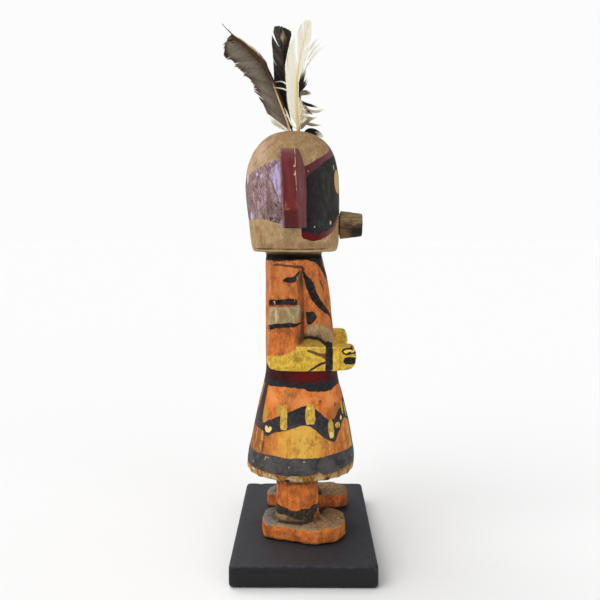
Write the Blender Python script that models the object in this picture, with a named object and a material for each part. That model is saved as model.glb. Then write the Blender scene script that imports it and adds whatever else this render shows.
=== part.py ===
"""A carved kachina doll with five feathers, standing on a flat black base.

Metres, +Z up. The figure faces -Y, and its right side is at -X. The origin is the centre of
the base's underside. Every size below is in millimetres and is scaled by MM where it is used.
"""

import math

import bmesh
import bpy
import numpy as np

for old in list(bpy.data.objects):
    bpy.data.objects.remove(old, do_unlink=True)

MM = 0.001

# Gaps between pieces.
TOUCH_GAP = 0.3
QUILL_CLEARANCE = 0.3

# The base.
BASE_WIDTH = 120.0
BASE_DEPTH = 76.0
BASE_THICK = 12.0
BASE_CORNER = 2.2
BASE_TOP_EDGE = 1.8
BASE_FOOT_EDGE = 1.2

# The carved figure, from its soles up.
FIGURE_X = 2.3
SOLE_Z = BASE_THICK + TOUCH_GAP
FOOT_THICK = 9.0
FOOT_BEVEL = 1.3
LEG_X = 19.4
LEG_Y = 3.8
LEG_HALF_X = 9.0
LEG_HALF_Y = 12.0
KILT_HEM_Z = 43.4
KILT_RIM_HIGH = 3.6
KILT_RIM_IN = 0.8
KILT_HALF_X = 31.2
SHOULDER_Z = 164.9
NECK_TOP_Z = 169.5
HEAD_RIM_Z = 167.3
HEAD_TOP_Z = 234.0
HEAD_HALF_X = 27.0
HEAD_HALF_Y = 26.3
HEAD_Y = 6.0

# Arms: flat L shapes against the sides of the body.
ARM_OUT = 35.3
ARM_OUT_SHOULDER = 28.6
ARM_IN = 22.6
ARM_IN_SHOULDER = 4.5
ARM_FRONT_Y = 4.4
ARM_GROOVE = 3.3
ARM_BACK_Y = 18.7
ELBOW_BACK_Y = 19.6
FOREARM_TOP_Z = 119.0
FOREARM_HIGH = 13.6
FOREARM_LOW_Z = FOREARM_TOP_Z - FOREARM_HIGH
FOREARM_RISE = 3.4
RIGHT_FIST_Y = -28.0
LEFT_FIST_Y = -26.5
ARM_EDGE = 0.8

# Ears and snout.
HEAD_HIGH = HEAD_TOP_Z - HEAD_RIM_Z
EAR_OUT = 36.4
EAR_LOW_Z = HEAD_RIM_Z + 0.1964 * HEAD_HIGH
EAR_TOP_Z = HEAD_RIM_Z + 0.8141 * HEAD_HIGH
EAR_FRONT_Y = 3.2
EAR_BACK_Y = 11.9
EAR_ROOT_FRONT_Y = -1.6
EAR_ROOT_BACK = 0.5
EAR_ROOT_RISE = 4.4
EAR_TOP_ROUND = 5.5
SNOUT_Z = HEAD_RIM_Z + 0.2204 * HEAD_HIGH
SNOUT_ROOT_R = 8.1
SNOUT_TIP_R = 6.6
SNOUT_TIP_Y = -32.6
SNOUT_EDGE = 0.6

# Feathers: how far each rises above the head, its widest half vane and its quill's radius.
QUILL_DEPTH = 8.0
VANE_THICK = 0.45
TIP_QUILL = 0.25
BROWN_HIGH = 57.9
BROWN_WIDE = 12.2
BROWN_QUILL = 0.95
BLACK_HIGH = 58.0
BLACK_WIDE = 6.7
BLACK_QUILL = 0.8
WHITE_HIGH = 58.0
WHITE_WIDE = 7.7
WHITE_QUILL = 1.15
BARRED_HIGH = 38.8
BARRED_WIDE = 13.5
BARRED_QUILL = 0.7
SHORT_DARK_LONG = 11.6
SHORT_DARK_WIDE = 1.8
SHORT_DARK_QUILL = 0.6

SEGMENTS = 48


def material(name, color, rough):
    made = bpy.data.materials.new(name)
    made.use_nodes = True
    shader = made.node_tree.nodes["Principled BSDF"]
    shader.inputs["Base Color"].default_value = (*color, 1.0)
    shader.inputs["Roughness"].default_value = rough
    return made


def mesh_object(name, points, faces, paint):
    """One closed body from points in millimetres."""
    mesh = bpy.data.meshes.new(name)
    mesh.from_pydata([tuple(c * MM for c in p) for p in points], [], faces)
    work = bmesh.new()
    work.from_mesh(mesh)
    bmesh.ops.remove_doubles(work, verts=work.verts, dist=0.00002)
    bmesh.ops.triangulate(work, faces=[f for f in work.faces if len(f.verts) > 4])
    bmesh.ops.recalc_face_normals(work, faces=work.faces)
    if work.calc_volume(signed=True) < 0:
        bmesh.ops.reverse_faces(work, faces=work.faces)
    work.to_mesh(mesh)
    work.free()
    made = bpy.data.objects.new(name, mesh)
    bpy.context.scene.collection.objects.link(made)
    if paint is not None:
        mesh.materials.append(paint)
    return made


def helper(made):
    """A hidden blank or cutter."""
    made.hide_render = True
    made.display_type = "WIRE"
    return made


def loft(name, rings, paint=None):
    """A closed body through rings of equal point counts, capped at both ends."""
    count = len(rings[0])
    points = [p for ring in rings for p in ring]
    faces = []
    for level in range(len(rings) - 1):
        low, high = level * count, (level + 1) * count
        for i in range(count):
            j = (i + 1) % count
            faces.append((low + i, low + j, high + j, high + i))
    faces.append(tuple(range(count))[::-1])
    faces.append(tuple(range((len(rings) - 1) * count, len(rings) * count)))
    return mesh_object(name, points, faces, paint)


def oval(x, y, half_x, half_y, z, power, count=SEGMENTS):
    """A superellipse ring. A power of 2 is an ellipse, and a higher one is boxier."""
    ring = []
    for i in range(count):
        a = 2 * math.pi * (i + 0.5) / count
        c, s = math.cos(a), math.sin(a)
        px = math.copysign(abs(c) ** (2 / power), c) * half_x
        py = math.copysign(abs(s) ** (2 / power), s) * half_y
        ring.append((x + px, y + py, z))
    return ring


def boolean(target, other, operation):
    cut = target.modifiers.new(other.name, "BOOLEAN")
    cut.operation = operation
    cut.solver = "EXACT"
    cut.object = other


def inset(outline, by):
    """A plan outline moved inwards along its corners' normals."""
    points = np.array(outline, float)
    before = points - np.roll(points, 1, axis=0)
    after = np.roll(points, -1, axis=0) - points
    turn = np.sum(points[:, 0] * np.roll(points[:, 1], -1))
    turn -= np.sum(points[:, 1] * np.roll(points[:, 0], -1))
    side = 1.0 if turn > 0 else -1.0
    normals = []
    for a, b in zip(before, after):
        n1 = np.array([-a[1], a[0]]) / np.hypot(*a)
        n2 = np.array([-b[1], b[0]]) / np.hypot(*b)
        n = n1 + n2
        n /= max(np.dot(n, n) / 2, 0.35)
        normals.append(n * side)
    return points + by * np.array(normals)


def smooth_outline(corners, rounds=2):
    """Corner cutting, which turns a rough outline into a carved curve."""
    points = np.array(corners, float)
    for _ in range(rounds):
        following = np.roll(points, -1, axis=0)
        cut = np.empty((2 * len(points), 2))
        cut[0::2] = 0.78 * points + 0.22 * following
        cut[1::2] = 0.22 * points + 0.78 * following
        points = cut
    return points


def between(shares, table, column):
    """A value from a short profile, as a function of the share of the height or length."""
    return np.interp(shares, [row[0] for row in table], [row[column] for row in table])


# Plain paints. The finish itself is left to the scene.
orange_paint = material("figure_paint", (0.62, 0.24, 0.06), 0.6)
black_paint = material("base_paint", (0.03, 0.032, 0.036), 0.5)
red_paint = material("ear_paint", (0.24, 0.03, 0.03), 0.5)
snout_wood = material("snout_wood", (0.33, 0.24, 0.12), 0.6)
brown_vane = material("brown_vane", (0.14, 0.1, 0.07), 0.7)
black_vane = material("black_vane", (0.02, 0.015, 0.012), 0.6)
white_vane = material("white_vane", (0.8, 0.76, 0.64), 0.7)
barred_vane = material("barred_vane", (0.3, 0.26, 0.2), 0.7)
dark_vane = material("dark_vane", (0.05, 0.03, 0.02), 0.7)

# The base: a flat block with slightly rounded edges.
base_rings = []
for step in range(4):
    turn = step / 3 * math.pi / 2
    fall = BASE_FOOT_EDGE * (1 - math.sin(turn))
    base_rings.append((BASE_FOOT_EDGE * (1 - math.cos(turn)), fall))
for step in range(5):
    turn = step / 4 * math.pi / 2
    rise = BASE_TOP_EDGE * (1 - math.cos(turn))
    height = BASE_THICK - BASE_TOP_EDGE * (1 - math.sin(turn))
    base_rings.append((height, rise))


def rounded_plan(half_x, half_y, corner, z):
    ring = []
    for sx, sy, start in ((1, 1, 0), (-1, 1, 90), (-1, -1, 180), (1, -1, 270)):
        for step in range(5):
            a = math.radians(start + 22.5 * step)
            x = sx * (half_x - corner) + corner * math.cos(a)
            y = sy * (half_y - corner) + corner * math.sin(a)
            ring.append((x, y, z))
    return ring


rings = []
for z, back in base_rings:
    corner = max(BASE_CORNER - back, 0.3)
    rings.append(rounded_plan(BASE_WIDTH / 2 - back, BASE_DEPTH / 2 - back, corner, z))
base = loft("base", rings, black_paint)

# The head: a carved cylinder with a dome. Each row is the share of its height, the share of
# its half width in y, and how far its middle is moved forwards or back.
HEAD_PROFILE = (
    (0.0, 0.885, -0.8),
    (0.035, 0.925, -0.8),
    (0.09, 0.943, -0.8),
    (0.24, 0.97, -0.5),
    (0.40, 0.992, 0.2),
    (0.54, 1.0, 0.6),
    (0.64, 0.983, 0.5),
    (0.70, 0.955, 0.5),
    (0.76, 0.91, 0.3),
    (0.81, 0.858, 0.1),
    (0.86, 0.785, -0.1),
    (0.90, 0.70, -0.2),
    (0.935, 0.60, -0.1),
    (0.965, 0.465, 0.1),
    (0.985, 0.32, 0.3),
    (0.997, 0.15, 0.4),
)


def head_rings(grown):
    """Rings of the head, which a positive number grows on every side."""
    rings = []
    for share, wide, shift in HEAD_PROFILE:
        z = HEAD_RIM_Z + share * HEAD_HIGH + (grown if share > 0.5 else -grown) * abs(share - 0.5) * 2
        half_x, half_y = HEAD_HALF_X * wide + grown, HEAD_HALF_Y * wide + grown
        rings.append(oval(FIGURE_X, HEAD_Y + shift, half_x, half_y, z, 2.15))
    return rings


# The body: chest, waist and the flared kilt down to its hem. Each row is the height, the
# front, the back, the half width in x and how boxy the section is.
BODY_PROFILE = (
    (KILT_HEM_Z, -28.4, 32.7, KILT_HALF_X - KILT_RIM_IN, 2.15),
    (KILT_HEM_Z + KILT_RIM_HIGH, -29.2, 32.9, KILT_HALF_X, 2.15),
    (51.0, -29.2, 32.5, KILT_HALF_X - 0.1, 2.15),
    (54.1, -28.9, 32.0, 30.6, 2.15),
    (63.6, -27.3, 29.8, 29.3, 2.15),
    (73.0, -25.4, 27.9, 28.0, 2.2),
    (82.4, -23.2, 25.8, 26.7, 2.25),
    (91.7, -20.5, 23.5, 25.5, 2.35),
    (97.5, -19.3, 22.2, 24.9, 2.5),
    (101.0, -18.9, 21.7, 24.7, 2.6),
    (114.8, -17.5, 21.9, 24.5, 2.7),
    (124.0, -16.6, 21.8, 24.4, 2.8),
    (142.2, -14.8, 21.8, 23.9, 2.9),
    (151.3, -13.4, 21.6, 23.6, 2.9),
    (160.3, -11.3, 21.8, 23.3, 2.9),
    (SHOULDER_Z - 1.0, -10.5, 21.7, 23.0, 2.9),
    (SHOULDER_Z, -9.8, 20.9, 22.2, 2.9),
)
body_rings = []
for z, front, back, half_x, power in BODY_PROFILE:
    body_rings.append(oval(FIGURE_X, (front + back) / 2, half_x, (back - front) / 2, z, power))
figure = loft("figure", body_rings, orange_paint)

head_blank = helper(loft("head_blank", head_rings(0.0)))
boolean(figure, head_blank, "UNION")

neck_rings = []
for z in (SHOULDER_Z - 4.0, NECK_TOP_Z):
    neck_rings.append(oval(FIGURE_X, 5.7, 18.0, 15.6, z, 2.6, 36))
neck_blank = helper(loft("neck_blank", neck_rings))
boolean(figure, neck_blank, "UNION")


# An arm is one flat L. Its outline is in the y-z plane, and it is lofted from the outer face
# to the inner one, which has the slope of the elbow crook and the groove beside the chest.
def upper_arm(share):
    """The height at this share of the way from the forearm's top to the shoulder."""
    return FOREARM_TOP_Z + share * (SHOULDER_Z - FOREARM_TOP_Z)


def arm_outline(groove, rise, fist_y):
    """The L, starting at the shoulder's back. The crook grows by the groove and the rise."""
    blend = groove / ARM_GROOVE
    return (
        (ARM_BACK_Y - 2.1, SHOULDER_Z - 1.2),
        (ARM_BACK_Y - 0.4, SHOULDER_Z - 3.0),
        (ARM_BACK_Y, upper_arm(0.675)),
        (ARM_BACK_Y, upper_arm(0.414)),
        (ARM_BACK_Y + 0.4, upper_arm(0.153)),
        (ELBOW_BACK_Y, FOREARM_TOP_Z),
        (ELBOW_BACK_Y, FOREARM_LOW_Z + 4.4),
        (ELBOW_BACK_Y - 1.8, FOREARM_LOW_Z + 1.2),
        (13.0, FOREARM_LOW_Z),
        (0.0, FOREARM_LOW_Z - 0.2),
        (-12.5, FOREARM_LOW_Z),
        (-22.5, FOREARM_LOW_Z + 0.4),
        (fist_y + 2.4, FOREARM_LOW_Z + 1.6),
        (fist_y + 0.3, FOREARM_LOW_Z + 4.6),
        (fist_y, FOREARM_LOW_Z + 8.4),
        (fist_y + 1.0, FOREARM_TOP_Z - 1.2),
        (fist_y + 2.8, FOREARM_TOP_Z + 0.1),
        (-15.5, FOREARM_TOP_Z),
        (-11.0, FOREARM_TOP_Z + rise * 0.75),
        (-3.0 - groove * 0.5, FOREARM_TOP_Z + rise),
        (ARM_FRONT_Y - 0.7 - groove, FOREARM_TOP_Z + rise * 0.9),
        (ARM_FRONT_Y - groove, FOREARM_TOP_Z + 3.0 + rise * 0.7),
        (ARM_FRONT_Y - groove, upper_arm(0.305)),
        (ARM_FRONT_Y - 0.2 - groove * 0.9, upper_arm(0.632)),
        (ARM_FRONT_Y - 2.2 - blend * 0.6, upper_arm(0.815)),
        (ARM_FRONT_Y - 2.0 - blend * 3.6, upper_arm(0.889)),
        (ARM_FRONT_Y - 1.4 - blend * 8.8, SHOULDER_Z - 1.2),
    )


def arm_out(z, drop):
    """How far out the outer face is, at this height."""
    share = min(max((z - FOREARM_TOP_Z) / (SHOULDER_Z - FOREARM_TOP_Z), 0.0), 1.0)
    return ARM_OUT + (ARM_OUT_SHOULDER - ARM_OUT) * share - drop


def arm_in(z):
    """How far out the hidden inner face is. At the shoulder it goes deeper into the body."""
    share = min(max((z - upper_arm(0.46)) / (upper_arm(1.0) - upper_arm(0.57)), 0.0), 1.0)
    return ARM_IN - ARM_IN_SHOULDER * share


def arm_blank(name, side, fist_y):
    outer = arm_outline(0.0, 0.0, fist_y)
    inner = arm_outline(ARM_GROOVE, FOREARM_RISE, fist_y)
    levels = []
    for edge, outline in ((ARM_EDGE, outer), (0.0, outer)):
        plan = inset(outline, edge)
        drop = ARM_EDGE - edge
        levels.append([(FIGURE_X + side * arm_out(z, drop), y, z) for y, z in plan])
    crook = 0.1 * np.array(outer) + 0.9 * np.array(inner)
    levels.append([(FIGURE_X + side * (arm_in(z) + 1.6), y, z) for y, z in crook])
    levels.append([(FIGURE_X + side * arm_in(z), y, z) for y, z in inner])
    count = len(outer)
    points = [p for level in levels for p in level]
    faces = []
    for level in range(len(levels) - 1):
        low, high = level * count, (level + 1) * count
        for i in range(count):
            j = (i + 1) % count
            faces.append((low + i, low + j, high + j, high + i))
    # The outer face bends at the forearm's top, between the elbow's back and the crook.
    bend = [i for i in range(count) if outer[i][1] == FOREARM_TOP_Z]
    elbow, crook_corner = bend[0], bend[-1]
    forearm = tuple(range(elbow, crook_corner + 1))
    upper = tuple(range(crook_corner, count)) + tuple(range(0, elbow + 1))
    faces.append(forearm[::-1])
    faces.append(upper[::-1])
    faces.append(tuple(range(3 * count, 4 * count)))
    return helper(mesh_object(name, points, faces, None))


for name, side, fist_y in (("right_arm_blank", -1, RIGHT_FIST_Y), ("left_arm_blank", 1, LEFT_FIST_Y)):
    boolean(figure, arm_blank(name, side, fist_y), "UNION")

# Legs and feet. The feet are thick soles with a bevelled top edge, and differ in outline.
for name, side in (("right_leg_blank", -1), ("left_leg_blank", 1)):
    leg_rings = []
    for z, more in ((SOLE_Z + FOOT_THICK - 3.0, 0.3), (SOLE_Z + FOOT_THICK + 6.0, 0.1), (KILT_HEM_Z + 5.0, -0.2)):
        x = FIGURE_X + side * LEG_X
        leg_rings.append(oval(x, LEG_Y, LEG_HALF_X + more, LEG_HALF_Y + more, z, 3.4, 36))
    boolean(figure, helper(loft(name, leg_rings)), "UNION")

RIGHT_FOOT = (
    (-19.5, 23.6), (-28.5, 22.2), (-31.2, 12.5), (-35.4, 2.5), (-37.6, -7.0), (-34.5, -16.5),
    (-27.5, -22.6), (-15.5, -24.0), (-5.6, -20.0), (-1.6, -9.5), (-1.8, 6.0), (-2.2, 19.0),
    (-9.0, 23.0),
)
LEFT_FOOT = (
    (26.5, 22.8), (34.5, 18.5), (37.8, 2.0), (39.0, -15.0), (36.5, -24.0), (26.0, -27.6),
    (16.0, -26.2), (13.6, -16.0), (15.0, -2.0), (14.2, 14.0), (16.6, 22.6),
)
for name, outline in (("right_foot_blank", RIGHT_FOOT), ("left_foot_blank", LEFT_FOOT)):
    plan = smooth_outline(outline)
    foot_rings = []
    for height, narrow in ((0.0, 0.5), (0.5, 0.0), (FOOT_THICK - FOOT_BEVEL, 0.0),
                           (FOOT_THICK - 0.4 * FOOT_BEVEL, 0.3 * FOOT_BEVEL), (FOOT_THICK, FOOT_BEVEL)):
        foot_rings.append([(x, y, SOLE_Z + height) for x, y in inset(plan, narrow)])
    boolean(figure, helper(loft(name, foot_rings)), "UNION")

# The cutter that fits the ears and the snout to the head with a small gap.
head_cutter = helper(loft("head_cutter", head_rings(TOUCH_GAP)))


def ear(name, side):
    """A flat tab, wider at its root, rounded back into the head at its top."""
    middle_y = (EAR_FRONT_Y + EAR_BACK_Y) / 2
    rings = []
    heights = [EAR_LOW_Z, EAR_LOW_Z + 0.6]
    heights += [EAR_LOW_Z + share * (EAR_TOP_Z - EAR_LOW_Z) for share in (0.25, 0.5, 0.75)]
    for step in range(1, 6):
        heights.append(EAR_TOP_Z - EAR_TOP_ROUND * (1 - math.sin(step / 5 * math.pi / 2)))
    for z in heights:
        share = (z - EAR_LOW_Z) / (EAR_TOP_Z - EAR_LOW_Z)
        into = max(0.0, (z - EAR_TOP_Z + EAR_TOP_ROUND) / EAR_TOP_ROUND)
        out = EAR_OUT - EAR_TOP_ROUND * (1 - math.sqrt(max(1 - into * into, 0.0)))
        out -= 0.5 if z == EAR_LOW_Z else 0.0
        lean = 1.8 * (share - 0.5)
        front, back = EAR_FRONT_Y + lean, EAR_BACK_Y + lean
        root_front = EAR_ROOT_FRONT_Y + EAR_ROOT_RISE * (max(share - 0.6, 0.0) / 0.4) ** 1.7
        root_back = back + EAR_ROOT_BACK
        plan = (
            (18.0, root_front), (27.6, root_front), (out - 0.5, front - 0.1), (out, front + 0.6),
            (out, back - 0.5), (out - 0.6, back), (27.6, root_back), (18.0, root_back),
        )
        rings.append([(FIGURE_X + side * x, y, z) for x, y in plan])
    made = loft(name, rings, red_paint)
    boolean(made, head_cutter, "DIFFERENCE")
    return made


ear("right_ear", -1)
ear("left_ear", 1)

snout_rings = []
for y, radius in ((-8.0, SNOUT_ROOT_R + 0.6), (-20.0, SNOUT_ROOT_R), (-26.0, (SNOUT_ROOT_R + SNOUT_TIP_R) / 2),
                  (SNOUT_TIP_Y + SNOUT_EDGE, SNOUT_TIP_R), (SNOUT_TIP_Y, SNOUT_TIP_R - SNOUT_EDGE)):
    ring = []
    for i in range(32):
        a = 2 * math.pi * i / 32
        x = FIGURE_X + radius * math.cos(a)
        ring.append((x, y, SNOUT_Z + radius * math.sin(a)))
    snout_rings.append(ring)
snout = loft("snout", snout_rings, snout_wood)
boolean(snout, head_cutter, "DIFFERENCE")


# Feathers. The shaft is a curve through a few points, as shares of the feather's length from
# the place where the quill meets the head. The vane's widths are shares of its widest half.
def feather(name, root, long, bends, lean, profile, widest, quill, turn, paint, slant=0.0):
    """One feather: an oval quill that grows a thin vane on both sides."""
    path = [np.array(root) + long * np.array((lean * z + dx, dy, z)) for dx, dy, z in bends]
    below = path[1] - path[0]
    below = below / np.linalg.norm(below)
    path.insert(0, path[0] - below * QUILL_DEPTH)
    path = np.array(path)
    along = np.r_[0.0, np.cumsum(np.linalg.norm(np.diff(path, axis=0), axis=1))]
    start, length = along[1], along[-1] - along[1]
    shares = [-QUILL_DEPTH / length] + [row[0] for row in profile]
    rings = []
    for share in shares:
        at = start + share * length
        centre = np.array([np.interp(at, along, path[:, axis]) for axis in range(3)])
        back, ahead = max(at - 1.5, 0.0), min(at + 1.5, along[-1])
        toward = np.array([np.interp(ahead, along, path[:, axis]) for axis in range(3)])
        toward -= np.array([np.interp(back, along, path[:, axis]) for axis in range(3)])
        toward /= np.linalg.norm(toward)
        flat = np.cross((1.0, 0.0, 0.0), toward)
        flat /= np.linalg.norm(flat)
        normal = np.cross(flat, toward)
        angle = math.radians(turn[0] + (turn[1] - turn[0]) * max(share, 0.0))
        side = math.cos(angle) * flat + math.sin(angle) * normal
        face = np.cross(side, toward)
        left = widest * between(max(share, 0.0), profile, 1)
        right = widest * between(max(share, 0.0), profile, 2)
        thick = quill * (1 - (1 - TIP_QUILL) * max(share, 0.0))
        left, right = max(left, thick), max(right, thick)
        ring = []
        for across, high in ((-1, 0.0), (-0.5, 0.5), (0, 1.0), (0.5, 0.5), (1, 0.0),
                             (1, -0.0), (0.5, -0.5), (0, -1.0), (-0.5, -0.5), (-1, -0.0)):
            wide = right if across > 0 else left
            under = len(ring) >= 5
            sign = -1.0 if under else 1.0
            vane = min(max((wide - thick) / 1.5, 0.0), 1.0)
            edge = 0.35 * thick if abs(across) == 1 else 0.8 * thick
            half = abs(high) == 1.0 and thick or (edge + (VANE_THICK / 2 - edge) * vane)
            bow = 0.09 * wide * across * across * vane
            shift = max(abs(across) * wide - thick * abs(across), 0.0) * vane
            reach = math.copysign(thick * abs(across) + shift, across) if across else 0.0
            ahead_by = -slant * reach * min(max((share - 0.9) / 0.1, 0.0), 1.0)
            ring.append(tuple(centre + side * reach + face * (sign * half - bow) + toward * ahead_by))
        rings.append(ring)
    made = loft(name, rings, paint)
    # The drilled hole follows the buried quill, with its clearance all round.
    hole = []
    for at in (start - QUILL_DEPTH - 0.6, start + 6.0):
        centre = path[1] + below * (at - start)
        flat = np.cross(below, (1.0, 0.0, 0.0))
        flat /= np.linalg.norm(flat)
        normal = np.cross(flat, below)
        radius = quill + QUILL_CLEARANCE + 0.1
        ring = []
        for i in range(16):
            a = 2 * math.pi * i / 16
            ring.append(tuple(centre + radius * (math.cos(a) * flat + math.sin(a) * normal)))
        hole.append(ring)
    boolean(figure, helper(loft(name + "_hole", hole)), "DIFFERENCE")
    return made


# A bare quill, then the vane's two sides as the share along the feather, left and right. The
# left side is towards the figure's back.
BROWN = (
    (0.0, 0.0, 0.0), (0.035, 0.0, 0.0), (0.06, 0.42, 0.08), (0.125, 0.57, 0.07), (0.19, 0.71, 0.07),
    (0.25, 0.71, 0.07), (0.31, 0.79, 0.06), (0.345, 0.82, 0.06), (0.38, 0.90, 0.06),
    (0.44, 0.83, 0.07), (0.5, 0.86, 0.08), (0.56, 0.95, 0.11), (0.63, 0.95, 0.13),
    (0.69, 1.0, 0.12), (0.75, 0.92, 0.10), (0.80, 1.06, 0.09), (0.83, 1.0, 0.09), (0.86, 0.62, 0.07),
    (0.885, 0.25, 0.05), (0.90, 0.0, 0.0), (1.0, 0.0, 0.0),
)
BLACK = (
    (0.0, 0.0, 0.0), (0.04, 0.0, 0.0), (0.07, 0.16, 0.10), (0.19, 0.34, 0.10), (0.25, 0.5, 0.10),
    (0.37, 0.82, 0.10), (0.44, 0.98, 0.10), (0.5, 1.0, 0.12), (0.62, 0.95, 0.17), (0.69, 0.91, 0.28),
    (0.75, 0.86, 0.48), (0.81, 0.80, 0.71), (0.875, 0.79, 0.90), (0.94, 0.76, 1.0),
    (0.985, 0.60, 0.96), (1.0, 0.48, 0.6),
)
WHITE = (
    (0.0, 0.0, 0.0), (0.035, 0.0, 0.0), (0.06, 0.4, 0.62), (0.125, 0.49, 1.0), (0.19, 0.6, 0.79),
    (0.25, 0.69, 0.52), (0.31, 0.74, 0.20), (0.44, 0.82, 0.19), (0.5, 0.86, 0.26),
    (0.62, 0.98, 0.44), (0.69, 1.0, 0.52), (0.75, 0.97, 0.57), (0.81, 0.86, 0.53),
    (0.875, 0.69, 0.42), (0.94, 0.62, 0.30), (0.985, 0.35, 0.25), (1.0, 0.15, 0.12),
)
BARRED = (
    (0.0, 0.0, 0.0), (0.05, 0.0, 0.0), (0.075, 0.09, 0.4), (0.125, 0.09, 0.55), (0.19, 0.09, 0.6),
    (0.25, 0.09, 0.75), (0.30, 0.09, 1.0), (0.34, 0.09, 0.9), (0.37, 0.09, 0.7), (0.42, 0.09, 0.68),
    (0.435, 0.09, 0.16), (0.52, 0.09, 0.16), (0.535, 0.09, 0.5), (0.605, 0.09, 0.5),
    (0.62, 0.09, 0.12), (0.635, 0.09, 0.12), (0.65, 0.09, 0.32), (0.76, 0.09, 0.30),
    (0.94, 0.07, 0.14), (1.0, 0.04, 0.05),
)
SHORT_DARK = (
    (0.0, 0.0, 0.0), (0.12, 0.0, 0.0), (0.2, 0.5, 0.5), (0.4, 1.0, 0.9), (0.6, 1.0, 1.0),
    (0.8, 0.6, 0.7), (1.0, 0.1, 0.1),
)

feather(
    "brown_feather", (FIGURE_X - 1.3, HEAD_Y + 2.1, HEAD_TOP_Z - 0.4), BROWN_HIGH,
    ((0, 0, 0), (0, 0.009, 0.055), (0, 0.054, 0.178), (0, 0.1, 0.294), (0, 0.14, 0.402),
     (0, 0.162, 0.463), (0, 0.202, 0.539), (0, 0.24, 0.617), (0, 0.358, 0.746), (0, 0.442, 0.822),
     (0, 0.528, 0.883), (0, 0.636, 1)),
    0.03, BROWN, BROWN_WIDE, BROWN_QUILL, (-14, -24), brown_vane,
)
feather(
    "black_feather", (FIGURE_X + 3.7, HEAD_Y + 0.5, HEAD_TOP_Z - 0.6), BLACK_HIGH,
    ((0, 0, 0), (0, 0.021, 0.083), (0, 0.05, 0.233), (0, 0.067, 0.397), (0, 0.079, 0.555),
     (0, 0.09, 0.672), (0, 0.11, 0.788), (0, 0.121, 0.866), (0, 0.116, 1)),
    0.05, BLACK, BLACK_WIDE, BLACK_QUILL, (12, 22), black_vane, 0.36,
)
feather(
    "white_feather", (FIGURE_X - 3.8, HEAD_Y - 2.6, HEAD_TOP_Z - 0.4), WHITE_HIGH,
    ((0, 0, 0), (0, 0.009, 0.138), (0, 0.012, 0.379), (0, 0.007, 0.493), (0, -0.009, 0.607),
     (0, -0.031, 0.721), (0, -0.062, 0.833), (0, -0.093, 0.941), (0, -0.109, 1)),
    -0.05, WHITE, WHITE_WIDE, WHITE_QUILL, (-10, 16), white_vane,
)
feather(
    "barred_feather", (FIGURE_X + 5.3, HEAD_Y - 3.4, HEAD_TOP_Z - 0.8), BARRED_HIGH,
    ((0, 0, 0), (0, -0.008, 0.222), (0, -0.013, 0.49), (0, -0.036, 0.735), (0, -0.067, 0.874),
     (0, -0.119, 1)),
    0.06, BARRED, BARRED_WIDE, BARRED_QUILL, (10, 20), barred_vane,
)
feather(
    "short_dark_feather", (FIGURE_X + 1.9, HEAD_Y - 6.6, HEAD_TOP_Z - 0.8), SHORT_DARK_LONG,
    ((0, 0, 0), (0.026, -0.103, 0.086), (0.078, -0.31, 0.121), (0.129, -0.552, 0.069),
     (0.172, -0.776, -0.043), (0.207, -1, -0.19)),
    0.0, SHORT_DARK, SHORT_DARK_WIDE, SHORT_DARK_QUILL, (30, 20), dark_vane,
)

bpy.context.view_layer.update()
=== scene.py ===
# %% [markdown]
# A kachina doll is a carved and painted wooden figure. This one is a single carving with glued-on
# ears and snout, and with feathers set into small drilled holes in its head. The shapes and sizes
# come from a fixed frame of plain solids. This lesson dresses them, one piece at a time: each
# solid is remeshed finely and carved a little, the feathers are grown barb by barb, and the
# paint is laid on in the order in which a painter would lay it.

import math

import bmesh
import bpy
import numpy as np
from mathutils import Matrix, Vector


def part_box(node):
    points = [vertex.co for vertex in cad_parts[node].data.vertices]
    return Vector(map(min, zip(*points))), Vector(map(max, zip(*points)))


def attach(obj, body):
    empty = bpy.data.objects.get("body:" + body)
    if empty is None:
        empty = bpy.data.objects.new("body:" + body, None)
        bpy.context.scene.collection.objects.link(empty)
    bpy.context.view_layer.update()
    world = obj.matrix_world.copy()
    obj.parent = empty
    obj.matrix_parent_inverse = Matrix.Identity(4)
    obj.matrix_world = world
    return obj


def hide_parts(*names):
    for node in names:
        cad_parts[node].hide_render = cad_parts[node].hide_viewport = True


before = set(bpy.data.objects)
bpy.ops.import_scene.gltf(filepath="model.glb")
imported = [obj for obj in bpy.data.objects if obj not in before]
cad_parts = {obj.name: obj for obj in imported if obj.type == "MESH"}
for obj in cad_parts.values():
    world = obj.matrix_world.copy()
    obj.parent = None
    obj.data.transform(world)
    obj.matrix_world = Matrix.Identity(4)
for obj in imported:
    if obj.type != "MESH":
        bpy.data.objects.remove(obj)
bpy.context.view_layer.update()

MM = 0.001
FIGURE_X = 2.3
HEAD_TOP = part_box("figure")[1].z / MM
scene = bpy.context.scene
print("solids in the frame:", ", ".join(sorted(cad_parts)))


# %% [markdown]
# The camera stands where a photographer would hold it, level with the head and looking a little
# down, at the figure's right side. A large pale floor, three broad soft lights and a faint light
# from all round give the even studio light in which painted wood shows its colours.

# %% Camera, floor and lights
CAMERA_PLACE = (-0.41457, -0.00115, 0.18414)
CAMERA_DOWN = 0.106147
CAMERA_ASIDE = 0.0082444
FOCAL_SHARE = 739.22 / 600
SENSOR_WIDTH = 36
FLOOR_HALF = 6.0


def put_camera():
    camera = bpy.data.cameras.new("camera")
    camera.sensor_width = SENSOR_WIDTH
    camera.lens = SENSOR_WIDTH * FOCAL_SHARE
    camera.clip_start = 0.01
    holder = bpy.data.objects.new("camera", camera)
    holder.location = CAMERA_PLACE
    holder.rotation_euler = (math.pi / 2 - CAMERA_DOWN, 0, -math.pi / 2 + CAMERA_ASIDE)
    scene.collection.objects.link(holder)
    scene.camera = holder


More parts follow.
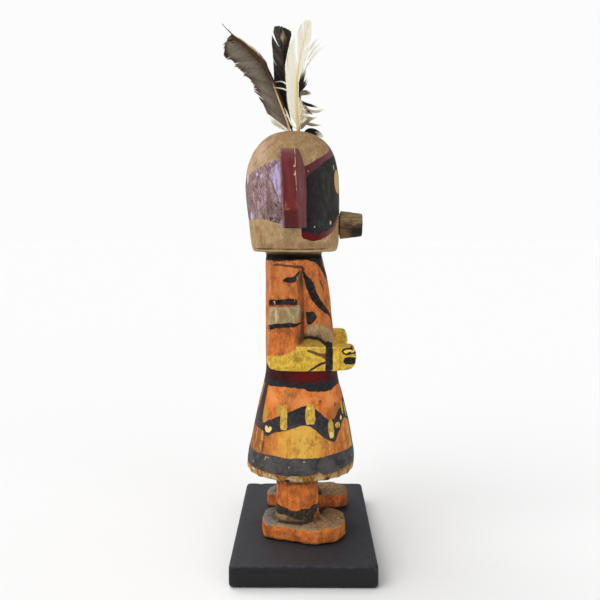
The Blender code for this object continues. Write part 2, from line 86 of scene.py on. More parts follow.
def soft_sun(name, toward, strength):
    """A broad, even light from far away, shining from this direction."""
    lamp = bpy.data.lights.new(name, "SUN")
    lamp.angle = math.radians(50)
    lamp.energy = strength
    holder = bpy.data.objects.new(name, lamp)
    holder.rotation_euler = Vector(toward).to_track_quat("Z", "Y").to_euler()
    scene.collection.objects.link(holder)


def lay_floor():
    mesh = bpy.data.meshes.new("floor")
    corners = [(x * FLOOR_HALF, y * FLOOR_HALF, 0) for x, y in ((-1, -1), (1, -1), (1, 1), (-1, 1))]
    mesh.from_pydata(corners, [], [(0, 1, 2, 3)])
    floor = bpy.data.objects.new("floor", mesh)
    scene.collection.objects.link(floor)
    white = bpy.data.materials.new("pale_floor")
    white.use_nodes = True
    shader = white.node_tree.nodes["Principled BSDF"]
    shader.inputs["Base Color"].default_value = (0.95, 0.95, 0.95, 1)
    shader.inputs["Roughness"].default_value = 0.9
    shader.inputs["Specular IOR Level"].default_value = 0.0
    mesh.materials.append(white)


put_camera()
lay_floor()
soft_sun("key_light", (-0.6, 0.75, 0.8), 1.2)
soft_sun("fill_light", (-1.0, -0.7, 0.3), 0.6)
soft_sun("back_light", (0.5, 0.5, 1.2), 1.3)


def studio_air(ambient, wall):
    """Even light from all round, behind which the camera sees a wall as pale as the floor."""
    world = bpy.data.worlds.new("studio")
    world.use_nodes = True
    nodes, links = world.node_tree.nodes, world.node_tree.links
    light = nodes["Background"]
    light.inputs["Color"].default_value = (ambient, ambient, ambient, 1)
    pale = nodes.new("ShaderNodeBackground")
    pale.inputs["Color"].default_value = (wall, wall, wall, 1)
    chosen = nodes.new("ShaderNodeMixShader")
    links.new(nodes.new("ShaderNodeLightPath").outputs["Is Camera Ray"], chosen.inputs[0])
    links.new(light.outputs[0], chosen.inputs[1])
    links.new(pale.outputs[0], chosen.inputs[2])
    links.new(chosen.outputs[0], nodes["World Output"].inputs["Surface"])
    scene.world = world


studio_air(0.38, 0.975)
scene.view_settings.view_transform = "Standard"
print("camera at", CAMERA_PLACE)


# %% [markdown]
# Paint and wood are made from shader nodes. A Wire is the value on one node's output, and
# Python's own signs on it add the Math nodes, so a mask reads like a sum. Every other node comes
# from Finish.node, which takes the node's type, its settings and the values of its sockets.

# %% A material written in Python
class Wire:
    """A value in a material."""

    def __init__(self, finish, socket):
        self.finish, self.socket = finish, socket

    def other(self, name):
        """Another output of the same node, by name or number."""
        return Wire(self.finish, self.socket.node.outputs[name])

    def sum(self, operation, *values, clamp=False):
        sockets = dict(enumerate((self, *values)))
        return self.finish.node("Math", {"operation": operation, "use_clamp": clamp}, sockets)

    def __add__(self, value):
        return self.sum("ADD", value)

    def __sub__(self, value):
        return self.sum("SUBTRACT", value)

    def __mul__(self, value):
        return self.sum("MULTIPLY", value)

    def __rsub__(self, value):
        return self.sum("MULTIPLY_ADD", -1.0, value)

    def __neg__(self):
        return self.sum("MULTIPLY", -1.0)

    def __abs__(self):
        return self.sum("ABSOLUTE")

    __radd__ = __add__
    __rmul__ = __mul__

    def least(self, *values):
        low = self
        for value in values:
            low = low.sum("MINIMUM", value)
        return low

    def most(self, *values):
        high = self
        for value in values:
            high = high.sum("MAXIMUM", value)
        return high

    def step(self, start, end):
        """0 below start and 1 above end, or the other way round if end is below start."""
        return self.sum("MULTIPLY_ADD", 1 / (end - start), -start / (end - start), clamp=True)


class Finish:
    """A material under the brush."""

    def __init__(self, name, plain=None):
        self.material = bpy.data.materials.new(name)
        self.material.use_nodes = True
        self.nodes = self.material.node_tree.nodes
        self.shader = self.nodes["Principled BSDF"]
        for socket, value in (plain or {}).items():
            self.shader.inputs[socket].default_value = value
        place = self.node("TexCoord").other("Object")
        self.place = self.node("VectorMath", {"operation": "SCALE"}, {"Vector": place, "Scale": 1000.0})
        self.x = self.node("SeparateXYZ", {}, {"Vector": self.place})
        self.y, self.z = self.x.other("Y"), self.x.other("Z")

    def join(self, value, socket):
        if isinstance(value, Wire):
            self.material.node_tree.links.new(value.socket, socket)
        elif socket.type == "RGBA" and len(value) == 3:
            socket.default_value = (*value, 1.0)
        else:
            socket.default_value = value

    def node(self, kind, settings=None, sockets=None):
        """Adds one node, with its settings set first, and gives its first output."""
        made = self.nodes.new("ShaderNode" + kind)
        for name, value in (settings or {}).items():
            if name == "stops":
                ramp = made.color_ramp.elements
                for at, colour in value[2:]:
                    ramp.new(at)
                for element, (at, colour) in zip(ramp, sorted(value)):
                    element.position = at
                    element.color = (*colour, 1.0)
            elif name == "curve":
                line = made.mapping.curves[0].points
                for at, high in value[1:-1]:
                    line.new(at, high)
                for point, spot in zip(line, value):
                    point.location = spot
                    point.handle_type = "VECTOR"
                made.mapping.update()
            else:
                setattr(made, name, value)
        for name, value in (sockets or {}).items():
            self.join(value, made.inputs[name])
        return Wire(self, made.outputs[0])

    def done(self, colour, roughness, height=None, depth=1.0):
        """Joins the finished colour, roughness and height, in mm, to the shader."""
        self.join(colour, self.shader.inputs["Base Color"])
        self.join(roughness, self.shader.inputs["Roughness"])
        if height is not None:
            bump = self.node("Bump", {}, {"Strength": depth, "Distance": MM, "Height": height})
            self.join(bump, self.shader.inputs["Normal"])
        return self.material


# %% [markdown]
# Three small tools serve every finish. Cloudy noise is stretched by a different size along x, y
# and z, so that the same call makes blotches, brush strokes and wood grain. Laying one colour
# over another is a Mix node. Colours are written as they look on a screen, and turned into the
# linear values that a renderer adds up.

# %% Noise, colour and coats of paint
def seen(red, green, blue):
    """A colour as picked on a screen, from 0 to 255, as linear values."""
    return tuple(
        c / 255 / 12.92 if c <= 10 else ((c / 255 + 0.055) / 1.055) ** 2.4 for c in (red, green, blue)
    )


def cloud(finish, size, detail=3.0, seed=0.0, rough=0.55, place=None):
    """Noise around 0.5, with blotches of this size in mm along x, y and z."""
    scale = tuple(1 / s for s in (size if isinstance(size, tuple) else (size, size, size)))
    spot = finish.node("VectorMath", {"operation": "MULTIPLY_ADD"},
                       {0: place or finish.place, 1: scale, 2: (seed, seed * 1.7, seed * 0.6)})
    return finish.node("TexNoise", {}, {"Vector": spot, "Scale": 1.0, "Detail": detail, "Roughness": rough})


def coat(under, over, cover):
    """One colour laid over another where cover is 1."""
    under, over = (seen(*c) if isinstance(c, tuple) else c for c in (under, over))
    mixed = cover.finish.node("Mix", {"data_type": "RGBA"}, {0: cover, 6: under, 7: over})
    return mixed.other(2)


def coats(under, *layers):
    """Several coats, each a colour and its cover, in the order in which they are laid."""
    for over, cover in layers:
        under = coat(under, over, cover)
    return under


def tones(value, *stops):
    """A colour for each value, from stops that run from low to high."""
    places = [(at, seen(*colour)) for at, colour in (stops[0], stops[-1], *stops[1:-1])]
    return value.finish.node("ValToRGB", {"stops": places}, {"Fac": value})


# %% [markdown]
# A painted mark is the space between two edges. Each edge is a Float Curve: a few points that
# give its height for every place along the surface, like a line drawn on paper wrapped round the
# wood. The paper's own lines are bent a little by noise first, which makes each edge look as if a
# brush had drawn it. This keeps every edge sharp however coarse the mesh is.

# %% Marks painted on an unrolled surface
class Chart:
    """The surface unrolled, with places along it and up it in mm."""

    def __init__(self, finish, along, up, shake=0.35, seed=0.0):
        waver = cloud(finish, 2.6, 2.0, seed)
        parts = finish.node("SeparateXYZ", {}, {"Vector": waver.other("Color")})
        self.finish = finish
        self.along = along + (parts - 0.5) * (4 * shake)
        self.up = up + (parts.other("Y") - 0.5) * (4 * shake)
        self.flat = finish.node("CombineXYZ", {}, {"X": self.along, "Y": self.up})

    def edge(self, points, across=False):
        """The height of an edge at each place along the chart, or the other way if across."""
        places = [p[0] for p in points]
        heights = [p[1] for p in points]
        start, span = places[0], places[-1] - places[0]
        low, high = min(heights), max(heights)
        if high - low < 0.01:
            return low
        share = (self.up if across else self.along).sum("MULTIPLY_ADD", 1 / span, -start / span)
        line = [((p - start) / span, (h - low) / (high - low)) for p, h in points]
        lift = self.finish.node("FloatCurve", {"curve": line}, {"Value": share})
        return lift.sum("MULTIPLY_ADD", high - low, low)

    def mark(self, upper, lower, soft=0.35, across=False):
        """1 between two edges that start and end at the same places, and 0 outside them."""
        ways, heights = (self.up, self.along) if across else (self.along, self.up)
        top, bottom = self.edge(upper, across), self.edge(lower, across)
        start = max(upper[0][0], lower[0][0])
        end = min(upper[-1][0], lower[-1][0])
        inside = (top - heights).least(heights - bottom, ways - start, end - ways)
        return inside.step(-soft / 2, soft / 2)

    def spots(self, places, soft=0.3):
        """1 inside any of several ovals: their middles and their half sizes."""
        cover = None
        for along, up, half_along, half_up in places:
            spot = self.finish.node(
                "VectorMath", {"operation": "MULTIPLY_ADD"},
                {0: self.flat, 1: (1 / half_along, 1 / half_up, 0),
                 2: (-along / half_along, -up / half_up, 0)})
            size = self.finish.node("VectorMath", {"operation": "DOT_PRODUCT"}, {0: spot, 1: spot})
            size = size.other("Value")
            cover = size if cover is None else cover.least(size)
        return cover.step(1 + soft, 1 - soft)


def around(finish, middle_y, radius):
    """The way round a column: 0 at either side, plus towards the front and minus to the back."""
    side = abs(finish.x - FIGURE_X)
    return (middle_y - finish.y).sum("ARCTAN2", side) * radius


# %% [markdown]
# The carving starts as a copy of the plain solid. A voxel remesh turns its few long triangles
# into an even skin of small squares. Smoothing then melts the facets of the plain solid, but
# leaves its true edges: a point where the skin turns sharply is moved less. All of this is numpy
# on arrays of points, which is many times faster than moving vertices one by one.

# %% Remesh and smooth a solid
def carved_copy(node, name, voxel):
    """A new object with the node's shape, in an even mesh of squares of this size in mm."""
    work = bmesh.new()
    work.from_mesh(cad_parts[node].data)
    bmesh.ops.remove_doubles(work, verts=work.verts, dist=0.00001)
    blank = bpy.data.meshes.new(name)
    work.to_mesh(blank)
    work.free()
    piece = bpy.data.objects.new(name, blank)
    scene.collection.objects.link(piece)
    skin = piece.modifiers.new("skin", "REMESH")
    skin.mode = "VOXEL"
    skin.voxel_size = voxel * MM
    graph = bpy.context.evaluated_depsgraph_get()
    mesh = bpy.data.meshes.new_from_object(piece.evaluated_get(graph))
    piece.modifiers.clear()
    piece.data = mesh
    mesh.materials.clear()
    mesh.name = name
    return piece


def read_points(mesh, what="co"):
    found = np.empty(len(mesh.vertices) * 3, np.float32)
    mesh.vertices.foreach_get(what, found)
    return found.reshape(-1, 3).astype(float)


def write_points(mesh, points):
    mesh.vertices.foreach_set("co", (points * MM).astype(np.float32).ravel())
    mesh.update()


def read_edges(mesh):
    found = np.empty(len(mesh.edges) * 2, np.int32)
    mesh.edges.foreach_get("vertices", found)
    return found.reshape(-1, 2)


def melt(points, edges, times, hold=None):
    """Moves each point towards its neighbours' mean, less where hold is near 0."""
    n = len(points)
    a, b = edges[:, 0], edges[:, 1]
    share = np.bincount(a, minlength=n) + np.bincount(b, minlength=n)
    push = 0.5 if hold is None else 0.5 * hold[:, None]
    for _ in range(times):
        mean = np.stack([np.bincount(a, points[b, i], n) + np.bincount(b, points[a, i], n)
                         for i in range(3)], 1)
        points = points + push * (mean / share[:, None] - points)
    return points


def smooth_skin(piece, times, crisp_times=2):
    """Melts the facets, keeps the edges, and gives the points, normals and edges in mm."""
    mesh = piece.data
    points, normals, edges = read_points(mesh) / MM, read_points(mesh, "normal"), read_edges(mesh)
    turn = np.linalg.norm(normals[edges[:, 0]] - normals[edges[:, 1]], axis=1)
    sharp = np.zeros(len(points))
    np.maximum.at(sharp, edges[:, 0], turn)
    np.maximum.at(sharp, edges[:, 1], turn)
    hold = np.clip((0.42 - sharp) / 0.22, 0, 1)
    points = melt(points, edges, times, hold)
    points = melt(points, edges, crisp_times)
    write_points(mesh, points)
    return points, read_points(mesh, "normal"), edges


# %% [markdown]
# A knife leaves small hollow facets, and years of handling leave dents on the edges. Both are
# made by moving points along their normals. The facets are the distance to the nearest of many
# scattered points, which gives shallow scoops with soft ridges between them. A dent is a round
# push at a point chosen at random, by a seeded generator so that each run is the same.

# %% Knife marks, dents and rubbed edges
WEAR_REACH = 8
PROUD, HOLLOW = 0.22, 0.16


def soft_noise(points, size, seed):
    """Smooth numbers from -1 to 1 at each point, with waves of about this size in mm."""
    table = np.random.default_rng(seed).uniform(-1, 1, (32, 32, 32))
    spot = points / size
    low = np.floor(spot).astype(int)
    part = spot - low
    part = part * part * (3 - 2 * part)
    total = np.zeros(len(points))
    for corner in np.ndindex(2, 2, 2):
        index = (low + corner) % 32
        weight = np.prod(np.where(np.array(corner) == 1, part, 1 - part), axis=1)
        total += weight * table[index[:, 0], index[:, 1], index[:, 2]]
    return total


def scoops(points, size, seed):
    """The depth of shallow knife scoops, from 0 on the ridges to about 1 in their middles."""
    table = np.random.default_rng(seed).uniform(0.15, 0.85, (16, 16, 16, 3))
    spot = points / np.array(size)
    low = np.floor(spot).astype(int)
    nearest = np.full(len(points), 9.0)
    for corner in np.ndindex(3, 3, 3):
        cell = low + corner - 1
        index = cell % 16
        seeds = cell + table[index[:, 0], index[:, 1], index[:, 2]]
        nearest = np.minimum(nearest, ((spot - seeds) ** 2).sum(1))
    return 1 - np.clip(nearest / 0.75, 0, 1)


def bulge(points, normals, edges):
    """How far each point stands proud of its surroundings in mm, minus in a hollow."""
    return ((points - melt(points, edges, WEAR_REACH)) * normals).sum(1)


def dents(points, where, count, radius, depth, seed):
    """How deep each point is pushed in by dents at points chosen where where is high."""
    rng = np.random.default_rng(seed)
    chance = np.clip(where, 0, None)
    picks = rng.choice(len(points), count, replace=False, p=chance / chance.sum())
    pushed = np.zeros(len(points))
    for pick in picks:
        size = radius * rng.uniform(0.5, 1.5)
        far = np.linalg.norm((points - points[pick]) * rng.uniform(0.6, 1.3, 3), axis=1) / size
        pushed = np.maximum(pushed, depth * rng.uniform(0.3, 1.0) * np.clip(1 - far ** 2, 0, 1) ** 1.5)
    return pushed


def add_value(mesh, name, values):
    made = mesh.attributes.new(name, "FLOAT", "POINT")
    made.data.foreach_set("value", values.astype(np.float32))


def finish_skin(piece, points, normals, edges, pushed):
    """Pushes the points in, then stores how proud or hollow each one is for wear, grime and painted shade.
    """
    mesh = piece.data
    points = points - normals * pushed[:, None]
    write_points(mesh, points)
    proud = bulge(points, read_points(mesh, "normal"), edges)
    add_value(mesh, "rubbed", np.clip(proud / PROUD, 0, 1))
    add_value(mesh, "hollow", np.clip(-proud / HOLLOW, 0, 1))
    mesh.shade_smooth()
    print(piece.name, "has", len(points), "points and", 2 * len(mesh.polygons), "triangles")


def dress(piece, slot, *nodes):
    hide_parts(*nodes)
    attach(piece, "root")


def drawn_from_mesh(finish, name):
    """A value that was stored on the mesh's points."""
    return finish.node("Attribute", {"attribute_name": name}, {}).other("Fac")


# %% [markdown]
# The carving is one piece of soft root wood, from the soles of its feet to the top of its head.
# Its hem has been rubbed and knocked, so that half-round flakes of black paint are gone and the
# pale wood shows. These flakes are cut into the mesh as well as painted, and so is the scored
# line round the bottom of the head.

# %% Carve the figure
KILT_Y, KILT_R = 1.5, 28.0
HEAD_Y, HEAD_R = 6.0, 26.5
HEM_FLAKES = ((-16.5, 5.6, 3.9), (-3.6, 4.6, 4.0), (9.2, 3.0, 5.0), (17.6, 2.7, 4.2), (25.0, 3.2, 4.4),
              (33.0, 3.4, 4.1), (40.5, 2.6, 3.7), (-27.0, 2.8, 3.6), (-35.5, 3.9, 4.2))
HEM_Z = 43.4
SCORED_Z = 169.3


def unrolled(points, middle_y, radius):
    return radius * np.arctan2(middle_y - points[:, 1], np.abs(points[:, 0] - FIGURE_X))


def hem_flakes(points):
    """Over 0 inside the half-round flakes at the hem."""
    way, up = unrolled(points, KILT_Y, KILT_R), points[:, 2] - HEM_Z
    inside = np.full(len(points), -9.0)
    for middle, half, high in HEM_FLAKES:
        inside = np.maximum(inside, 1 - ((way - middle) / half) ** 2 - (np.clip(up, 0, None) / high) ** 2)
    return np.where(up > 6, -9.0, inside)


def carve_figure():
    piece = carved_copy("figure", "carved_figure", 0.8)
    points, normals, edges = smooth_skin(piece, 26)
    pushed = 0.17 * scoops(points, (6.5, 6.5, 11.0), 3) + 0.05 * (1 + soft_noise(points, 2.4, 5))
    proud = bulge(points, normals, edges)
    pushed += dents(points, np.clip(proud - 0.05, 0, 0.5), 46, 1.5, 0.55, 11)
    pushed += dents(points, np.ones(len(points)), 60, 1.3, 0.25, 12)
    pushed += 0.34 * np.clip(hem_flakes(points) * 3, 0, 1)
    scored = np.clip((24 - np.abs(unrolled(points, HEAD_Y, HEAD_R) + 2)) / 3, 0, 1)
    pushed += 0.3 * scored * np.exp(-((points[:, 2] - SCORED_Z) / 0.45) ** 2)
    finish_skin(piece, points, normals, edges, pushed)
    add_value(piece.data, "flaked", np.clip(hem_flakes(points), -0.5, 0.5) + 0.5)
    add_value(piece.data, "upward", np.clip(normals[:, 2], 0, 1))
    dress(piece, "painted_wood", "figure")
    return piece


figure = carve_figure()

# %% [markdown]
# Old matt paint on bare wood shows streaks along the grain and thin places on the edges wherever
# it lies, and its hollows are darker, with grime and painted shade. These three are made once here
# and used by all four paints of the figure. The relief is the grain, the strokes and the paint's
# own thickness, all well under half a millimetre.

# %% What all the paints share
WOOD = (178, 148, 106)


def bare_wood(finish):
    """Cottonwood root: fine grain along z with broad warm and cool clouds."""
    grain = cloud(finish, (1.3, 1.3, 13.0), 5.0, 2.0, 0.7)
    blotch = cloud(finish, (7.0, 7.0, 10.0), 4.0, 7.0, 0.6)
    pores = cloud(finish, (0.6, 0.6, 1.8), 4.0, 9.0, 0.7)
    wood = tones(grain, (0.28, (156, 125, 82)), (0.5, WOOD), (0.72, (188, 160, 120)))
    wood = coat(wood, (160, 118, 82), blotch.step(0.50, 0.66) * 0.75)
    wood = coat(wood, (196, 172, 134), blotch.step(0.44, 0.34) * 0.6)
    return coat(wood, (118, 86, 54), pores.step(0.60, 0.72) * 0.55), grain


def strokes(finish, seed=0.0):
    """Brush strokes, mostly upright."""
    return cloud(finish, (1.0, 1.0, 7.0), 4.0, 20 + seed, 0.6)


def aged(finish, colour, wood, rub=0.8, dirt_and_shade=0.55):
    """Rubs the paint thin on edges and darkens the hollows, with grime and painted shade."""
    break_up = cloud(finish, 1.6, 4.0, 31.0, 0.65)
    rubbed = drawn_from_mesh(finish, "rubbed") * 0.9 + break_up * 0.8
    colour = coat(colour, wood, rubbed.step(1.26, 1.36) * rub)
    # The hollows darken, with grime and painted shade.
    hollow_dirt_and_shade = drawn_from_mesh(finish, "hollow") * (cloud(finish, 3.0, 2.0, 41.0) + 0.5)
    return coat(colour, (58, 42, 32), hollow_dirt_and_shade.step(0.15, 1.0) * dirt_and_shade)


def spread(finish, along, start, end, *stops):
    """Colours along a chart: each stop is a place in mm and a colour as seen."""
    share = (along + (strokes(finish, 3.0) - 0.5) * 5.0).step(start, end)
    return tones(share, *(((p - start) / (end - start), colour) for p, colour in stops))


# %% [markdown]
# The head is a helmet mask. Its black field, maroon borders and bare dome are read off the
# photograph as marks on the head unrolled, mirrored to the other side. The pink patch behind the
# ear is old, scraped paint with flakes of lavender on it, so it gets two noises: long streaks
# that thin it, and small specks where the primer shows.

# %% Paint the head
def head_paint():
    finish = Finish("head_paint", {"Specular IOR Level": 0.15})
    chart = Chart(finish, around(finish, HEAD_Y, HEAD_R), finish.z, 0.22)
    wood, grain = bare_wood(finish)
    soft = cloud(finish, 5.0, 3.0, 3.0)
    dome = (finish.z + (soft - 0.5) * 10).step(219, 226) * 0.6
    colour = coat(wood, (148, 112, 76), dome)
    # Paler and warmer on the back of the dome: painted light from behind.
    warm = chart.mark(((-43, 240), (-15, 240)), ((-43, 205), (-15, 205)), 1.5) * finish.z.step(232, 224)
    colour = coat(colour, (206, 174, 150), warm * soft.step(0.34, 0.6) * 0.65)
    yellowed = chart.along.step(14, 30) * chart.up.step(196, 180)
    colour = coat(colour, (150, 116, 66), yellowed * 0.5)
    low_stain = chart.spots(((-1.5, 174, 3.5, 3.5), (14, 171.5, 12, 1.8), (-16, 171, 6, 1.5)), 0.9)
    colour = coat(colour, (128, 92, 58), low_stain * 0.5)
    grime = cloud(finish, (3.2, 3.2, 3.6), 5.0, 65.0, 0.68)
    colour = coat(colour, (112, 86, 54), grime.step(0.52, 0.64) * 0.42)
    colour = coat(colour, (206, 182, 142), grime.step(0.44, 0.34) * 0.5)

    # The scraped pink patch behind the ear.
    patch = chart.mark(
        ((-43, 205.6), (-36, 206.6), (-29.4, 208.8), (-24.3, 210.7), (-21.4, 212), (-15.3, 214.3),
         (-9.7, 216), (-5, 216.8)),
        ((-43, 186.5), (-37, 185.2), (-26.5, 184.6), (-20, 185.6), (-15.9, 186.4), (-12, 184),
         (-8.9, 184.1), (-5, 182.2)), 0.7)
    scrape = cloud(finish, (1.5, 1.5, 6.0), 5.0, 51.0, 0.7)
    fine = cloud(finish, (0.6, 0.6, 1.6), 4.0, 53.0, 0.7)
    slant = finish.node("CombineXYZ", {}, {"X": chart.along + chart.up * 0.5,
                                           "Y": chart.up - chart.along * 0.5})
    hatch = cloud(finish, (0.9, 3.6, 1.0), 5.0, 57.0, 0.72, slant)
    pink = tones(scrape, (0.3, (112, 84, 80)), (0.45, (152, 122, 122)),
                 (0.58, (178, 148, 156)), (0.72, (200, 178, 196)))
    pink = coats(
        pink,
        ((86, 60, 54), hatch.step(0.51, 0.58) * 0.85),
        ((208, 188, 202), hatch.step(0.42, 0.34) * 0.6),
        ((110, 86, 70), fine.step(0.56, 0.68) * 0.8))
    brown_zone = chart.mark(((-16, 190), (-13, 200), (-9, 192)), ((-16, 188), (-12, 186), (-9, 188)), 3.0)
    pink = coat(pink, (104, 80, 66), brown_zone * 0.6)
    pink = coat(pink, (118, 98, 88), chart.along.step(-26, -31) * 0.5)
    worn = (scrape + fine - chart.along.step(-31, -42) * 0.2).step(0.55, 0.85)
    colour = coat(colour, pink, patch * worn)
    streak = chart.mark(
        ((194, -6.4), (199, -5.8), (208, -5.8), (215.4, -6.4)),
        ((194, -6.8), (198, -7.8), (202, -9.4), (206, -11.2), (208.6, -11.9), (211, -11.4), (213, -9.8),
         (215.4, -7.2)),
        0.5, across=True)
    flakes = chart.spots(((-27.2, 186.8, 2.0, 2.3), (-6.3, 183.2, 0.9, 1.6), (-30.6, 206.6, 1.3, 2.5),
                          (-20.6, 209, 1.1, 0.8), (-17.2, 207.8, 0.8, 1.1), (-8.6, 216, 0.7, 0.9),
                          (-11.5, 215.6, 0.6, 0.9)), 0.5)
    lavender = coat((166, 144, 186), (214, 202, 234), scrape.step(0.42, 0.58))
    colour = coat(colour, lavender, streak.most(flakes) * (fine + hatch * 0.6).step(0.58, 0.74))
    specks = chart.mark(((-17, 187), (-12, 186.4), (-6.5, 185.2)), ((-17, 185.4), (-12, 184), (-6.5, 183)),
                        0.5)
    speck = cloud(finish, 1.1, 4.0, 59.0, 0.7)
    colour = coat(colour, (46, 38, 34), specks * speck.step(0.46, 0.54))

    # The maroon border, the black field over it, and the eye.
    upper = ((5, 212), (7.5, 213), (10, 214.5), (15, 217), (20, 219), (25, 221), (30, 222.8), (35, 223.8),
             (41.8, 224.5))
    under = ((5, 205.5), (7, 206.5), (10, 209.5), (13, 211.5), (17, 214), (20, 216), (25, 217.5), (30, 219),
             (35, 220), (41.8, 221))
    bottom = ((5, 178), (8, 178.8), (10, 177.5), (14, 176.8), (18, 178), (22, 179.5), (26, 181.5), (29, 185),
              (32, 187.5), (41.8, 189.5))
    lip = ((5, 176.5), (6, 175), (9, 174), (12, 173.5), (16, 174.3), (20, 175.8), (24, 178), (28, 180.5),
           (31, 184), (35, 186.6), (41.8, 187.6))
    maroon = spread(finish, chart.along, 0, 42, (0, (92, 40, 48)), (14, (96, 50, 58)), (24, (120, 76, 84)),
                    (42, (136, 96, 100)))
    maroon = coat(maroon, (98, 14, 20), chart.up.step(184, 180) * chart.along.step(24, 14))
    border = chart.mark(upper, lip, 0.4)
    colour = coat(colour, maroon, border)
    field = chart.mark(under, bottom, 0.4)
    black = tones(cloud(finish, (2.6, 2.6, 4.0), 4.0, 61.0, 0.65), (0.32, (32, 30, 30)),
                  (0.5, (46, 45, 43)), (0.7, (64, 64, 58)))
    black = coat(black, (26, 20, 30), chart.along.step(17, 9) * 0.85)
    black = coat(black, (74, 72, 62), fine.step(0.62, 0.72) * 0.4)
    colour = coat(colour, black, field)
    eye = chart.spots(((32.2, 205.6, 4.8, 6.5),), 0.1)
    rim = chart.spots(((32.2, 205.6, 5.7, 7.5),), 0.1)
    colour = coat(colour, (30, 24, 26), rim)
    colour = coat(colour, (196, 168, 116), eye)
    chips = chart.spots(((28.5, 213, 0.7, 1.3), (23, 183.3, 0.7, 1.0), (8.2, 210.3, 0.3, 0.4),
                         (36.5, 192.5, 0.6, 0.8), (12.2, 181.2, 0.35, 0.5)))
    colour = coat(colour, (206, 196, 160), chips * 0.9)
    painted = border.most(patch)

    # The scored line, the pale strip under it, and painted shade: a darker band at the rim's lower edge and
    # near-black under the rim at the neck.
    strip = finish.z.step(169.6, 168.8)
    colour = coat(colour, (184, 156, 116), strip * 0.6)
    line = (1 - abs(finish.z - SCORED_Z).step(0.15, 0.6)) * chart.along.step(24, 18)
    line = line * chart.along.step(-31, -24)
    colour = coat(colour, (58, 42, 28), line * soft.step(0.3, 0.5) * 0.9)
    lower = chart.mark(((-41.6, 168.2), (-20, 168.0), (0, 167.8), (41.6, 168.2)),
                       ((-41.6, 167.6), (-20, 167.2), (0, 167.1), (41.6, 167.6)), 0.5)
    colour = coat(colour, (74, 54, 34), lower * 0.6)
    colour = coat(colour, (36, 30, 28), finish.z.step(167.0, 166.3))
    colour = aged(finish, colour, wood, 0.6, 0.5)
    height = grain * 0.10 + painted * 0.05 + patch * fine * 0.16 + strokes(finish) * 0.05
    return finish.done(colour, 0.66 - field * 0.14 + soft * 0.08, height, 0.8)


head_material = head_paint()
print("head:", len(head_material.node_tree.nodes), "nodes")

# %% [markdown]
# The torso is painted like a shirt: orange over everything, a black collar, a dark cord from the
# shoulder across the chest, and arm bands in black and tan. The forearms are yellow below a black
# string. Each mark is again the space between two edges, drawn on the side of the body unrolled
# towards the front. Old orange paint is thin, so the wood's grain still shows through it.

# %% Paint the torso and arms
def old_orange(finish, seed=0.0):
    streak = strokes(finish, seed)
    broad = cloud(finish, (5.0, 5.0, 9.0), 4.0, 71 + seed, 0.64)
    mottle = cloud(finish, (1.7, 1.7, 2.8), 5.0, 75 + seed, 0.72)
    scratch = cloud(finish, (0.5, 0.5, 1.9), 4.0, 79 + seed, 0.7)
    orange = tones(broad, (0.33, (152, 84, 42)), (0.43, (194, 106, 48)),
                   (0.52, (218, 120, 54)), (0.62, (224, 128, 62)), (0.72, (202, 126, 70)))
    orange = coats(
        orange,
        ((136, 80, 42), mottle.step(0.53, 0.66) * 0.7),
        ((236, 152, 86), mottle.step(0.43, 0.32) * 0.5),
        ((104, 64, 38), scratch.step(0.60, 0.70) * 0.5))
    return coat(orange, (158, 92, 48), streak.step(0.56, 0.72) * 0.4)


